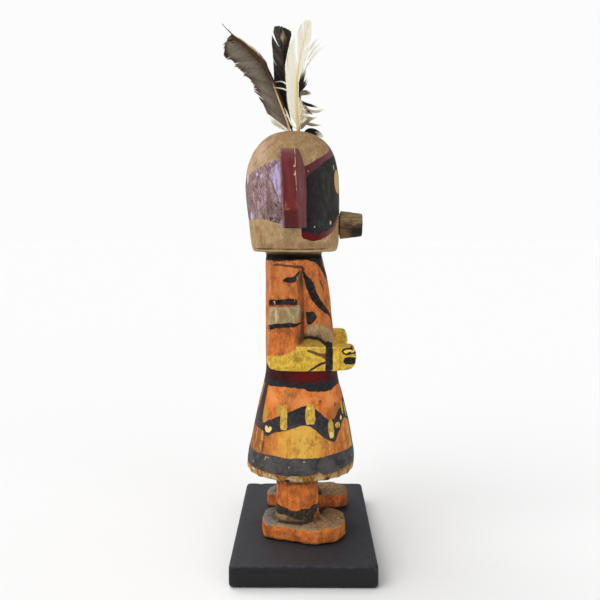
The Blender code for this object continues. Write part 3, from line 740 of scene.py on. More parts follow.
def torso_paint():
    finish = Finish("torso_paint", {"Specular IOR Level": 0.12})
    aside = abs(finish.x - FIGURE_X)
    front = finish.y.sum("LESS_THAN", 0.0) * 2 - 1
    along = (-finish.y) + front * (20 - aside).most(0.0) * 0.9
    chart = Chart(finish, along, finish.z, 0.28)
    _, grain = bare_wood(finish)
    colour = old_orange(finish)
    dark = cloud(finish, (4.0, 4.0, 9.0), 4.0, 81.0, 0.6)
    colour = coat(colour, (124, 72, 40), dark.step(0.54, 0.66) * 0.7)
    stain = cloud(finish, (2.6, 2.6, 5.0), 5.0, 115.0, 0.7)
    colour = coat(colour, (112, 82, 54), stain.step(0.5, 0.62) * 0.6)
    # Paler towards the back: worn paint, and painted light from behind.
    haze = chart.along.step(-16, -20.5) * dark.step(0.34, 0.56)
    colour = coat(colour, (190, 136, 100), haze * 0.55)
    ridge = chart.spots(((-18.0, 152, 0.5, 9.5), (-18.1, 121, 0.4, 5)), 0.8) * grain.step(0.4, 0.6)
    colour = coat(colour, (218, 166, 122), ridge * 0.5)
    brown = chart.mark(((0, 160), (6, 158), (12, 146), (17, 132)),
                       ((0, 152), (6, 138), (12, 124), (17, 118)), 2.5)
    colour = coat(colour, (160, 98, 54), brown * dark.step(0.4, 0.56) * 0.6)
    pale = chart.spots(((-10, 157, 5, 3.5), (8, 146, 3, 6), (-12, 148, 4, 3), (13, 128, 5, 4)), 0.9)
    colour = coat(colour, (206, 132, 76), pale * 0.6)
    black = tones(cloud(finish, 2.2, 4.0, 83.0), (0.36, (26, 23, 24)), (0.5, (37, 34, 34)),
                  (0.7, (60, 52, 48)))
    # Near-black at the top, under the head's rim: painted shadow.
    black = coat(black, (14, 11, 12), chart.up.step(163.2, 164.6) * chart.along.step(-15, -10) * 0.9)
    tan = tones(cloud(finish, (1.6, 1.6, 4.0), 5.0, 85.0, 0.66), (0.34, (134, 114, 78)),
                (0.5, (168, 148, 110)), (0.66, (192, 172, 134)))

    # The collar with its orange opening in front, the thin lines below it and the leaf-like mark.
    collar = chart.mark(
        ((-40, 176), (36, 176)),
        ((-40, 162.8), (-13, 163.2), (-5, 163.6), (0, 163.8), (2.4, 163.4), (5.6, 162.4), (8.9, 160.9),
         (11.7, 158.9), (14.7, 156.2), (17.8, 153.9), (23, 151.7), (29, 150.2), (36, 149.8)), 0.4)
    opening = chart.mark(((18, 161.6), (19.2, 163.4), (24, 164.6), (36, 165.2)),
                         ((18, 160.4), (19.2, 158.8), (22, 157), (27, 155.6), (36, 155)), 0.4)
    collar = collar * (1 - opening)
    line = chart.mark(((-16, 162.1), (-10, 161.7), (-6, 161.3), (-3, 161.0), (-1, 160.8), (0.4, 159)),
                      ((-16, 161.1), (-10, 160.5), (-6, 159.9), (-3, 159.5), (-1, 159.0), (0.4, 158)), 0.3)
    leaf = chart.mark(
        ((-10.8, 153.8), (-9, 155), (-6, 155), (-4.5, 156), (-3, 157.8), (-2, 158.6)),
        ((-10.8, 152.6), (-8, 152), (-5, 152.2), (-4, 153), (-3, 155), (-2, 158)), 0.35)
    dashes = chart.mark(
        ((146.4, 13.9), (148.2, 13.3), (150.5, 11.4), (153, 9.4)),
        ((146.4, 13), (148.3, 11.4), (150.3, 9.7), (153, 8.6)),
        0.3, across=True)
    dashes = dashes.most(chart.mark(
        ((140, 22), (142, 20.6), (144, 18.6)), ((140, 20.6), (142, 18.4), (144, 16.6)), 0.3,
        across=True) * 0.6)
    smear = chart.spots(((-2.3, 152.5, 1.6, 4.6), (-1.0, 130.5, 0.8, 5.5)), 0.6)
    colour = coat(colour, (106, 82, 48), smear * 0.75)
    # A dark line in the cleft between the arm and the body: painted shade.
    cleft_shade = chart.mark(((119, 0.2), (140, 0.0), (158, -0.9)), ((119, -0.4), (140, -0.5), (158, -1.4)),
                        0.25, across=True)
    colour = coats(
        colour,
        ((62, 40, 26), cleft_shade * grain.step(0.3, 0.5) * 0.7),
        ((220, 82, 38), chart.spots(((-4.4, 124, 0.4, 4.6),), 0.5) * 0.7),
        ((120, 108, 70), chart.spots(((-1.6, 123.4, 1.7, 2.8),), 0.7) * 0.7),
        ((78, 56, 48), line.most(dashes) * 0.9))

    # The cord across the chest, with the patch and the half-round spot beside it.
    patch = chart.mark(
        ((1.3, 127.4), (3.3, 129.2), (7, 129.1), (9.4, 128), (10.8, 127.4), (15.5, 125.8), (23.5, 124),
         (27, 120.6)),
        ((1.3, 121), (10, 120), (17, 117), (27, 116)), 0.4)
    colour = coat(colour, tan, patch * 0.85)
    spot = chart.mark(
        ((0.9, 135.5), (1.3, 135.8), (4.8, 135.8), (5.8, 135.3), (6.5, 134), (6.9, 133)),
        ((0.9, 135.2), (1.5, 131), (2, 129.2), (3, 128.9), (4, 129.3), (5, 130), (6, 131), (6.9, 132.6)),
        0.35)
    cord = chart.mark(
        ((119, 37), (122, 34), (124.4, 31), (126.9, 28.3), (130.7, 24.5), (134, 20.2), (136.8, 15.8),
         (139.5, 11.5), (142, 8.9), (144.8, 7.5), (148.1, 6.1), (150.9, 5.2), (153.5, 3.8), (155.1, 1.8),
         (157.5, -0.1), (160, -0.7)),
        ((119, 34), (122, 31), (124.4, 28), (127.3, 25), (130.6, 21.4), (133.4, 16.6), (135.3, 11.1),
         (137.4, 8.4), (139.8, 6.1), (142.2, 4.2), (145.9, 2.4), (149.6, 1.0), (153.3, 0.1), (157, -0.9),
         (160, -1.7)),
        0.35, across=True)

    # The arm bands: black, tan and black again, with a little red under the upper one.
    red = chart.mark(((-40, 141), (-3.6, 141)), ((-40, 139.2), (-3.6, 139.2)), 0.4)
    arm = aside.step(20.8, 21.6)
    colour = coat(colour, (112, 42, 30), red * dark.step(0.4, 0.54) * arm * 0.6)
    tan_band = chart.mark(
        ((-40, 139.3), (-18, 139.3), (-6, 139.4), (-4, 140), (-2, 139.8), (-1.2, 138)),
        ((-40, 130), (-18.5, 130.2), (-9, 131), (-5, 131), (-3.3, 131), (-2, 133), (-1.2, 136)), 0.4)
    colour = coat(colour, tan, tan_band * arm)
    olive = chart.spots(((-11, 134.8, 2.8, 4.2), (-26, 134, 2.6, 3.4)), 0.7) * dark.step(0.36, 0.5)
    colour = coat(colour, (140, 114, 74), olive * arm * 0.8)
    streak = chart.spots(((-14.5, 135, 0.7, 3.6), (-3.2, 136.5, 0.6, 2.4)), 0.5)
    colour = coat(colour, (216, 190, 140), streak * 0.7)
    upper_band = chart.mark(
        ((-40, 143), (-18.5, 143.2), (-14, 143.2), (-8, 144), (-4, 143.4), (-3.2, 141)),
        ((-40, 140.2), (-18.5, 140.3), (-8, 140.4), (-3.2, 140.2)), 0.4)
    lower_band = chart.mark(
        ((-40, 130), (-18.5, 130.3), (-15, 130.7), (-9, 131.2), (-6, 131), (-4.5, 130.5), (-0.8, 130.6)),
        ((-40, 127.4), (-18.5, 127.5), (-15, 128.2), (-9, 128.7), (-4.5, 128.7), (-0.8, 130)), 0.4)
    bands = upper_band.most(lower_band) * arm
    marks = collar.most(spot, cord, bands, leaf)
    colour = coat(colour, black, marks)
    chips = chart.spots(((-15.6, 142.2, 0.6, 0.3), (-15.1, 141.5, 0.3, 0.7), (-20, 129, 0.8, 0.4)))
    colour = coat(colour, (206, 164, 108), chips)

    # The forearms are yellow, with a black string over them and a finger drawn on each hand.
    fore = aside.step(20.4, 21.4) * chart.mark(
        ((-30, 114), (-20, 114), (-12.5, 114), (-8, 115.3), (-5, 117), (-4.2, 117.2), (-3.9, 119.2),
         (-1, 120.5), (0, 121.6), (3, 121.6), (6, 121.2), (8, 120.5), (10, 119.8), (16, 120.5), (45, 121)),
        ((-30, 100), (45, 100)), 0.4)
    dab = cloud(finish, 1.0, 5.0, 89.0, 0.72)
    yellow = tones(cloud(finish, (2.4, 2.4, 3.2), 4.0, 88.0, 0.6), (0.32, (180, 144, 50)),
                   (0.5, (216, 176, 62)), (0.68, (232, 196, 84)))
    yellow = coats(
        yellow,
        ((150, 118, 48), cloud(finish, 3.2, 4.0, 87.0, 0.6).step(0.54, 0.7) * 0.5),
        ((104, 80, 36), dab.step(0.55, 0.64) * 0.65),
        ((240, 214, 130), dab.step(0.42, 0.32) * 0.4))
    colour = coat(colour, yellow, fore)
    string = chart.mark(
        ((0, 122.6), (3, 122.7), (7, 122.4), (9, 121.7), (11, 120.6), (13, 119.9), (15.2, 119.9)),
        ((0, 121.5), (3, 121.4), (7, 121.1), (9, 120.4), (11, 119.2), (13, 118.4), (15.2, 118.4)), 0.3)
    lower_string = chart.mark(((2, 106.0), (5, 108.1), (8, 109.9), (11.5, 111.4)),
                              ((2, 104.6), (5, 106.7), (8, 108.6), (11.5, 110.1)), 0.3)
    wrist = chart.mark(((11.3, 119.6), (13, 120.6), (15.2, 121)), ((11.3, 103), (15.2, 102.6)), 0.4)
    stroke = chart.mark(((1.5, 117), (3, 117.4), (6, 116.2), (9, 115.2), (11.5, 115.4)),
                        ((1.5, 116.2), (4, 115.3), (6, 114.3), (9, 113.4), (11.5, 112.2)), 0.35)
    blotch = chart.spots(((-3, 112, 2.5, 1.6), (-9, 107.4, 0.9, 0.5), (-9, 105.3, 0.8, 0.4),
                          (24, 107, 2.5, 1)), 0.7)
    outer = aside.step(21, 22)
    # A pale line along the forearm's top edge: painted highlight.
    edge_highlight = chart.mark(((-4, 118.7), (4, 118.5), (16, 118.5)), ((-4, 118.3), (4, 118.1), (16, 118.1)), 0.2)
    upside = chart.mark(((-5, 121), (3, 122), (12, 121)), ((-5, 118.5), (3, 118.4), (12, 118.4)), 0.3)
    colour = coats(
        colour,
        ((140, 112, 48), upside * fore * outer * 0.5),
        ((242, 210, 124), edge_highlight * outer * dab.step(0.4, 0.52) * 0.8),
        ((134, 104, 50), blotch * outer * 0.7),
        ((112, 76, 32), stroke * outer))
    nail = chart.mark(((19.8, 116.4), (20.6, 117.6), (22.5, 118.4), (25.5, 118.8), (28.2, 118.6)),
                      ((19.8, 116), (20.4, 115), (22, 114.4), (25, 114.9), (28.2, 115.2)), 0.3)
    inner = chart.mark(((21.0, 116.4), (22, 117.2), (24.2, 117.5), (25.3, 117.0), (26.8, 117.6)),
                       ((21.0, 115.9), (22, 115.5), (24.2, 116.3), (25.3, 115.8), (26.8, 116.5)), 0.3)
    bar = chart.mark(((20.8, 111.8), (21.6, 113.2), (24, 113.6), (28.5, 113.2)),
                     ((20.8, 111), (21.6, 109.6), (24, 109.4), (28.5, 109.8)), 0.35)
    knuckle = aside.step(29, 30.5)
    hand_marks = (string.most(lower_string).most(wrist) * outer).most(nail.most(bar) * knuckle)
    colour = coat(colour, black, hand_marks)
    colour = coat(colour, (240, 200, 84), inner * knuckle)

    # The top of the sash, where the body ends.
    sash = finish.z.step(105.4, 104.9) * aside.step(24, 22)
    colour = coat(colour, (66, 24, 26), sash)
    edge = coat((214, 160, 110), (236, 208, 140), fore)
    colour = aged(finish, colour, edge, 0.7, 0.75)
    height = grain * 0.14 + strokes(finish) * 0.10 + marks.most(fore) * 0.05
    return finish.done(colour, 0.62 + dark * 0.2, height, 0.9)


torso_material = torso_paint()
print("torso:", len(torso_material.node_tree.nodes), "nodes")

# %% [markdown]
# The kilt is one cone of orange paint with a black zigzag over a yellow ground, a black band
# along the hem, a stripe down the back edge and a maroon sash on top. Yellow dabs lie across the
# zigzag's upper corners. At the very bottom the wood was knocked, and half-round pale flakes
# show where paint came off. They are the same flakes that were cut into the mesh.

# %% Paint the kilt
def kilt_paint():
    finish = Finish("kilt_paint", {"Specular IOR Level": 0.12})
    chart = Chart(finish, around(finish, KILT_Y, KILT_R), finish.z, 0.26)
    wood, grain = bare_wood(finish)
    colour = old_orange(finish, 2.0)
    broad = cloud(finish, (7.0, 7.0, 6.0), 3.0, 91.0, 0.6)
    fine = cloud(finish, (1.4, 1.4, 2.6), 5.0, 93.0, 0.7)
    stained = chart.along.step(-26, -31) * chart.up.step(74, 79)
    colour = coat(colour, (104, 80, 58), stained * broad.step(0.3, 0.5) * 0.85)
    bright = chart.spots(((-14, 89, 10, 5), (6, 87, 12, 6), (18, 88, 8, 5)), 0.9)
    colour = coat(colour, (246, 154, 84), bright * broad.step(0.62, 0.46) * 0.85)
    colour = coat(colour, (150, 108, 56), chart.spots(((24, 80.5, 6, 3.4), (-35, 86, 6, 5)), 0.9) * 0.8)
    greenish = chart.spots(((-23.2, 78, 2.6, 5.0), (-13.2, 81.6, 1.8, 3.0)), 0.8) * fine.step(0.34, 0.5)
    colour = coat(colour, (184, 150, 64), greenish * 0.95)
    smudge = chart.spots(((-7.1, 90.4, 3.6, 3.0), (-11, 86.6, 3.0, 1.6)), 0.95) * fine.step(0.36, 0.56)
    colour = coat(colour, (120, 88, 50), smudge * 0.8)
    colour = coat(colour, (96, 56, 38),
                  chart.spots(((11.4, 86.9, 0.9, 0.8), (22.2, 84, 0.8, 1.2)), 0.7) * 0.8)

    # The ground below the zigzag goes from brownish orange to golden yellow and back.
    zig_top = (
        (-46, 80), (-36, 79), (-26, 74), (-24, 73.5), (-20, 75.5), (-12, 79.2), (-8, 81), (0, 84.5),
        (3, 85.2),
        (8.5, 83), (12, 80), (16, 76.5), (17.5, 76), (20, 76.5), (22.5, 78.5), (24.5, 80.6), (27.5, 81.4),
        (31, 81), (33, 85), (37, 86), (41, 84.4), (46, 84.4))
    zig_low = (
        (-46, 70), (-36, 70), (-26, 69.5), (-22, 68.5), (-21, 66.8), (-19, 67.2), (-15, 69.8), (-8, 71.5),
        (-2, 73.8), (2, 74.8), (5, 73.8), (8, 71.5), (13, 67), (16, 65), (18, 64.3), (20, 65), (22, 68.5),
        (25, 71), (27, 73.6), (31, 75.2), (34, 74), (38, 72), (46, 73))
    ground = spread(
        finish, chart.along, -44, 44, (-46, (160, 96, 54)), (-30, (142, 88, 54)), (-23, (164, 98, 50)),
        (-15, (208, 128, 60)), (-8, (222, 164, 70)), (0, (226, 178, 78)), (8, (222, 168, 70)),
        (14, (206, 130, 62)), (24, (198, 116, 58)), (34, (214, 150, 66)), (46, (218, 160, 70)))
    upright = cloud(finish, (3.2, 3.2, 13.0), 4.0, 107.0, 0.62)
    ground = coats(
        ground,
        ((186, 92, 40), upright.step(0.53, 0.62) * 0.65),
        ((228, 178, 84), upright.step(0.43, 0.36) * 0.6),
        ((132, 90, 44), broad.step(0.54, 0.66) * 0.5),
        ((112, 74, 38), fine.step(0.56, 0.68) * 0.6),
        ((240, 202, 116), fine.step(0.42, 0.33) * 0.6))
    below = chart.mark(zig_low, ((-46, 40), (46, 40)), 0.6)
    colour = coat(colour, ground, below)
    drip = chart.mark(((56, -21.4), (62, -21.6), (67, -21.5)), ((56, -22.6), (62, -22.8), (67, -22.4)), 0.5,
                      across=True)
    colour = coat(colour, (84, 52, 32), drip * fine.step(0.36, 0.5) * 0.85)

    # Black paint: the zigzag, the back stripe, the front stripe, the line under the sash, the hem.
    black = tones(cloud(finish, 2.0, 5.0, 95.0, 0.66), (0.34, (44, 42, 45)), (0.5, (56, 54, 58)),
                  (0.66, (74, 72, 74)))
    black = coats(
        black,
        ((96, 84, 72), chart.along.step(-21, -27) * upright.step(0.4, 0.56) * 0.6),
        ((98, 94, 91), chart.up.step(60, 57) * broad.step(0.36, 0.6) * 0.6),
        ((30, 27, 29), chart.up.step(74, 84) * 0.6),
        ((112, 104, 92), fine.step(0.64, 0.74) * 0.5))
    zigzag = chart.mark(zig_top, zig_low, 0.4)
    back = chart.mark(
        ((67, -21.4), (69.5, -21.8), (72, -23.2), (75.6, -25.6), (80, -25.8), (87, -25.2), (98, -24.2)),
        ((67, -22.2), (70, -23.6), (72.7, -27.4), (75.7, -32), (78.5, -34.5), (82.6, -33), (89.5, -32),
         (98, -29.5)),
        0.9, across=True)
    front = chart.mark(((57, 41.0), (70, 40.4), (84, 39.4), (94, 38.4)),
                       ((57, 37.2), (70, 37.2), (84, 36.6), (94, 35.8)), 0.5, across=True)
    under_sash = chart.mark(
        ((-46, 98), (46, 98)),
        ((-46, 94), (-24, 94), (-10, 94.8), (0, 94.2), (2, 94), (3.5, 92.9), (5, 92.7), (10, 92.2),
         (15, 91.8), (20, 92), (25, 93.5), (46, 94)), 0.4)
    hem_top = ((-46, 57), (-25, 57), (-15, 57.5), (-8, 56.8), (0, 57), (10, 57), (14, 57.8), (20, 58),
               (30, 58),
               (46, 57.5))
    hem_low = ((-46, 48), (-35, 48), (-20, 47.8), (-12, 47.3), (-5, 46.8), (-2, 47.5), (2, 47), (6, 47.8),
               (9, 49),
               (12, 47), (15, 47.5), (20, 48), (25, 49), (46, 48))
    hem = chart.mark(hem_top, hem_low, 0.5)
    marks = zigzag.most(back, front, under_sash, hem)
    colour = coat(colour, black, marks)

    # Yellow dabs over the zigzag, and small bright spots.
    dabs = chart.mark(((71.7, -8.2), (74, -7.8), (80, -7.9), (84.4, -8.6)),
                      ((71.7, -11.2), (74, -11.8), (80, -11.8), (84.4, -12.4)), 0.35, across=True)
    dabs = dabs.most(chart.mark(((75, 7.2), (78, 8), (83, 7.8), (86, 6.4)),
                                ((75, 3.2), (78, 2.4), (83, 2.6), (86, 3.6)),
                                0.35, across=True))
    dabs = dabs.most(chart.mark(((66.5, 18.4), (70, 19.2), (74, 19), (76.5, 18)),
                                ((66.5, 16.2), (70, 15.2), (74, 15.4), (76.5, 16.4)), 0.35, across=True))
    dabs = dabs.most(chart.spots(((22.4, 72.8, 2.1, 1.5), (30, 80.6, 1.3, 3.4), (35.6, 79, 1.7, 4.2))))
    yellow = tones(cloud(finish, (1.4, 1.4, 2.2), 5.0, 99.0, 0.7), (0.34, (158, 128, 52)),
                   (0.5, (206, 168, 68)), (0.66, (230, 196, 98)))
    colour = coat(colour, yellow, (dabs + fine * 0.7).step(0.68, 0.82))
    brights = chart.spots(((17, 68.3, 1.2, 1.6), (-21.0, 71.2, 1.2, 1.3), (-18.2, 71.4, 1.1, 1.2),
                           (-19.8, 70.2, 1.9, 1.2), (26.3, 76, 1, 1.2), (4.4, 83.6, 0.9, 0.7)))
    colour = coat(colour, (244, 214, 130), brights)
    notch = chart.spots(((-19.5, 72.4, 0.45, 0.8),))
    colour = coat(colour, (60, 48, 44), notch * 0.9)
    chips = chart.spots(((1.5, 55.2, 0.6, 0.4), (-18.4, 55.8, 1.3, 0.3), (-19.5, 54.8, 0.3, 0.9),
                         (-6, 52, 0.3, 0.5),
                         (33, 53, 0.5, 0.4), (-29, 51, 0.5, 0.4)))
    colour = coat(colour, (186, 160, 112), chips * 0.9)

    # The sash.
    sash = tones(cloud(finish, (5.0, 5.0, 2.6), 4.0, 113.0, 0.6), (0.34, (46, 18, 20)), (0.5, (60, 24, 27)),
                 (0.68, (80, 34, 36)))
    clear = chart.spots(((5, 101, 11, 4.5), (36, 101, 6, 4)), 0.95)
    sash = coat(sash, (116, 20, 20), clear * 0.75)
    colour = coat(colour, sash, chart.mark(((-46, 108), (46, 108)), ((-46, 97.6), (46, 97.6)), 0.5))

    # The worn rim, with its pale half-round flakes.
    rim = chart.mark(hem_low, ((-46, 40), (46, 40)), 0.5)
    worn = tones(fine, (0.35, (96, 62, 36)), (0.5, (156, 104, 50)), (0.66, (202, 148, 72)))
    colour = coat(colour, worn, rim)
    colour = coat(colour, (70, 46, 34), chart.up.step(46.0, 43.6) * fine.step(0.42, 0.58) * 0.8)
    flaked = drawn_from_mesh(finish, "flaked").step(0.46, 0.60)
    bare = tones(cloud(finish, (1.2, 1.2, 2.6), 5.0, 97.0, 0.7), (0.3, (132, 102, 66)),
                 (0.5, (184, 156, 110)), (0.7, (222, 198, 152)))
    colour = coats(
        colour,
        (bare, flaked * chart.up.step(50.0, 48.4)),
        ((48, 38, 36), chart.spots(((-7, 44.2, 1.4, 1.0), (13.4, 44, 1.2, 1.6)))),
        ((228, 196, 140), chart.spots(((-28, 47, 1.4, 0.6), (-33, 45.5, 1.0, 0.7)))))
    colour = aged(finish, colour, wood, 0.7, 0.6)
    height = grain * 0.12 + fine * 0.10 + marks.most(dabs) * 0.06
    return finish.done(colour, 0.6 + fine * 0.2, height, 0.9)


kilt_material = kilt_paint()
print("kilt:", len(kilt_material.node_tree.nodes), "nodes")

# %% [markdown]
# The legs and feet are orange too. A black cuff with an uneven edge goes round each ankle, and a
# dark strap curves over the instep towards the heel. The tops of the feet are mostly worn to a
# tan and grey mixture, so noise breaks up the colour there most.

# %% Paint the legs and feet
def leg_paint():
    finish = Finish("leg_paint", {"Specular IOR Level": 0.12})
    chart = Chart(finish, -finish.y, finish.z, 0.28, 4.0)
    wood, grain = bare_wood(finish)
    colour = old_orange(finish, 4.0)
    fine = cloud(finish, (1.5, 1.5, 1.5), 5.0, 103.0, 0.7)
    broad = cloud(finish, 5.0, 3.0, 101.0, 0.6)
    # The first coat darkens the legs towards the top, under the kilt's hem: painted shadow.
    colour = coats(
        colour,
        ((122, 70, 36), finish.z.step(36, 42) * 0.5),
        ((150, 82, 42), broad.step(0.5, 0.62) * 0.6),
        ((236, 130, 56), broad.step(0.46, 0.36) * finish.z.step(21, 30) * 0.6))
    tan = tones(fine, (0.32, (104, 88, 62)), (0.5, (146, 126, 92)), (0.68, (176, 154, 116)))
    below = chart.mark(((-20, 25.4), (-13, 25.2), (-8, 24.4), (-3, 23), (1, 22.4), (5, 22)),
                       ((-20, 20), (5, 20)), 0.7)
    colour = coat(colour, tan, below * 0.85)

    # The tops of the feet lie flat, so they are charted in x and y.
    aside = abs(finish.x - FIGURE_X)
    top = (drawn_from_mesh(finish, "upward").step(0.6, 0.85) * finish.z.step(25.0, 23.4)
           * finish.z.step(17, 18))
    plan = Chart(finish, chart.along, aside, 0.3, 6.0)
    colour = coat(colour, tan, top * (broad * 0.6 + fine * 0.4).step(0.36, 0.46) * 0.95)
    strap_low = (
        (-14, 26), (-9, 27.6), (-3, 28.8), (1, 27.6), (4, 24), (6.2, 20), (8, 14), (10, 9), (12, 4), (14, 2))
    strap = plan.mark(
        ((-14, 30), (-9, 31), (-3, 32.6), (1, 32.6), (5, 28.6), (7.5, 24), (9.4, 19), (11, 13), (13.2, 8),
         (14, 3)),
        strap_low, 0.5)
    inside = plan.mark(strap_low, ((-14, 0), (14, 0)), 0.5)
    colour = coats(
        colour,
        ((96, 88, 66), inside * top * broad.step(0.34, 0.5) * 0.85),
        ((118, 120, 124), chart.along.step(-12, -18) * top * 0.7),
        ((50, 42, 36), strap * top * fine.step(0.3, 0.42) * 0.9))

    # The black cuff at the ankle.
    cuff = chart.mark(
        ((-18, 30), (-13.8, 29.8), (-12, 29.3), (-10, 28.6), (-8, 27.6), (-6, 27), (-4, 26.8), (-2.5, 27.1),
         (-1, 28), (0, 28.3), (1, 28.6), (2, 28.5), (3, 28.2), (3.5, 28.9), (4.5, 29.8), (5.5, 30.3),
         (6.5, 29.9), (8, 28.5), (14, 29)),
        ((-18, 24.4), (-13.5, 24.6), (-11, 24.8), (-9, 24.3), (-8, 23.4), (-6, 23), (-4, 22.3), (-2, 22),
         (0, 21.8), (3, 21.5), (4.5, 21.3), (5, 22), (5.5, 23.5), (7, 25.5), (8, 27), (14, 25)), 0.4)
    ink = tones(fine, (0.35, (40, 35, 32)), (0.5, (56, 48, 42)), (0.68, (88, 74, 58)))
    colour = coat(colour, ink, cuff)

    # Scuffs and a thin drawn line on the side of the foot.
    side = finish.z.step(21.4, 20.6)
    scuffs = chart.spots(((7, 17.2, 2.2, 1.0), (11.8, 17.5, 1.2, 1.9), (15.5, 16.5, 1.4, 0.8),
                          (-10, 15.5, 2.2, 0.8),
                          (20.5, 17, 1.5, 1.0)), 0.95)
    colour = coat(colour, (220, 158, 108), scuffs * side * fine.step(0.42, 0.62) * 0.7)
    bright = chart.spots(((-2.5, 17.6, 2.0, 1.2), (2.5, 19.2, 1.5, 0.6), (-14, 18.6, 1.8, 0.8)), 0.7)
    colour = coat(colour, (238, 140, 56), bright * side * 0.7)
    drawn = chart.mark(((14.2, -4.6), (19.6, -4.4)), ((14.2, -4.9), (19.6, -4.7)), 0.2, across=True)
    colour = coat(colour, (98, 58, 34), drawn * side * 0.6)
    # Darker towards the bottom of the foot, by the base: painted shadow.
    low = finish.z.step(14.2, 12.6) * (fine + 0.1).step(0.4, 0.6)
    colour = coat(colour, (66, 44, 32), low * 0.8)
    colour = coat(colour, (88, 62, 42), chart.along.step(21, 26) * side * 0.6)
    colour = aged(finish, colour, wood, 0.7, 0.7)
    height = grain * 0.06 + fine * 0.10 + cuff * 0.05
    return finish.done(colour, 0.6 + fine * 0.2, height, 0.9)


leg_material = leg_paint()
print("legs:", len(leg_material.node_tree.nodes), "nodes")

# %% [markdown]
# The four paints lie on one mesh. Each face takes its paint from its height, and both paints at
# a border show the same colour there, so no seam can be seen.

# %% Lay the four paints on the figure
KILT_FROM, TORSO_FROM, HEAD_FROM = 43.2, 104.9, 166.2
PAINTS = ((leg_material, 0.0), (kilt_material, KILT_FROM), (torso_material, TORSO_FROM),
          (head_material, HEAD_FROM))


def lay_paints(piece):
    mesh = piece.data
    heights = np.empty(len(mesh.polygons) * 3, np.float32)
    mesh.polygons.foreach_get("center", heights)
    heights = heights.reshape(-1, 3)[:, 2] / MM
    index = np.zeros(len(heights), np.int32)
    for number, (material, low) in enumerate(PAINTS):
        mesh.materials.append(material)
        index[heights > low] = number
    mesh.polygons.foreach_set("material_index", index)
    print("faces in each paint:", np.bincount(index).tolist())


lay_paints(figure)

# %% [markdown]
# The base is a flat board painted matt black, with its edges softened by handling. The ears and
# the snout were carved apart and glued on. The ears are lacquered red and chipped along their
# front edge, where the pale wood shows.

# %% Base, ears and snout
def make_base():
    piece = carved_copy("base", "painted_base", 0.9)
    points, normals, edges = smooth_skin(piece, 4, 3)
    proud = bulge(points, normals, edges)
    pushed = 0.04 * (1 + soft_noise(points, 3.0, 6))
    pushed += dents(points, np.clip(proud - 0.1, 0, 0.5), 36, 1.8, 0.5, 13)
    pushed[points[:, 2] < 0.6] = 0
    finish_skin(piece, points, normals, edges, pushed)
    dress(piece, "black_base", "base")
    return piece


def make_ear(node, seed):
    piece = carved_copy(node, "painted_" + node, 0.45)
    points = read_points(piece.data) / MM
    shallow = np.clip(36.4 - np.abs(points[:, 0] - FIGURE_X), 0, 9)
    back = np.clip((points[:, 1] - 5.0) / 3.0, 0, 1)
    points[:, 1] -= 0.13 * shallow * back
    write_points(piece.data, points)
    points, normals, edges = smooth_skin(piece, 6, 2)
    proud = bulge(points, normals, edges)
    pushed = 0.10 * scoops(points, (4.0, 4.0, 8.0), seed) + 0.03 * (1 + soft_noise(points, 2.0, seed))
    pushed += dents(points, np.clip(proud - 0.05, 0, 0.5), 14, 0.9, 0.4, seed)
    finish_skin(piece, points, normals, edges, pushed)
    dress(piece, "red_ear_wood", node)
    return piece


def make_snout():
    piece = carved_copy("snout", "painted_snout", 0.4)
    points, normals, edges = smooth_skin(piece, 16, 2)
    pushed = 0.16 * scoops(points, (5.0, 3.5, 3.5), 9) + 0.05 * (1 + soft_noise(points, 1.6, 9))
    finish_skin(piece, points, normals, edges, pushed)
    dress(piece, "snout_wood", "snout")
    return piece


base = make_base()
ears = [make_ear("right_ear", 15), make_ear("left_ear", 16)]
snout = make_snout()

# %% [markdown]
# Three more finishes. The base is matt black paint with a few scuffs, lighter on top with dust and
# a painted reflection, and darker on its sides as painted shade. The ears are thicker red paint with
# a soft gloss, glossier in one patch, with painted highlights and a painted shadow. The snout is bare
# wood with painted shade on its lower half and painted highlights on its upper half.

# %% Paint the base, ears and snout
EAR_LEAN = 0.046
EAR_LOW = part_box("right_ear")[0].z / MM
FRONT_EDGE = EAR_LEAN * EAR_LOW - 2.9
BACK_EDGE = FRONT_EDGE - 7.6
SNOUT_MIDDLE = (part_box("snout")[0].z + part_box("snout")[1].z) / 2 / MM
SNOUT_TIP = -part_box("snout")[0].y / MM


def base_paint():
    finish = Finish("base_paint", {"Specular IOR Level": 0.35})
    fine = cloud(finish, 1.2, 5.0, 1.0, 0.7)
    broad = cloud(finish, 9.0, 4.0, 3.0, 0.6)
    streak = cloud(finish, (6.0, 1.0, 1.0), 4.0, 5.0, 0.6)
    colour = tones(broad, (0.34, (18, 19, 23)), (0.5, (24, 26, 31)), (0.66, (30, 31, 35)))
    # Lighter on top, with dust and a painted reflection, and near-black on the sides: painted shade.
    colour = coats(
        colour,
        ((46, 36, 28), broad.step(0.50, 0.62) * fine.step(0.48, 0.62) * 0.8),
        ((66, 68, 74), finish.z.step(10.4, 11.8) * (fine * 0.6 + 0.1)),
        ((8, 9, 11), finish.z.step(11.4, 10.4) * 0.8),
        ((58, 60, 66), fine.step(0.62, 0.7) * 0.5),
        ((66, 68, 74), streak.step(0.64, 0.7) * 0.5))
    rubbed = drawn_from_mesh(finish, "rubbed") * 0.9 + fine * 0.8
    colour = coat(colour, (70, 68, 68), rubbed.step(1.24, 1.40) * 0.5)
    return finish.done(colour, 0.46 + fine * 0.26, fine * 0.12 + streak * 0.05, 0.8)


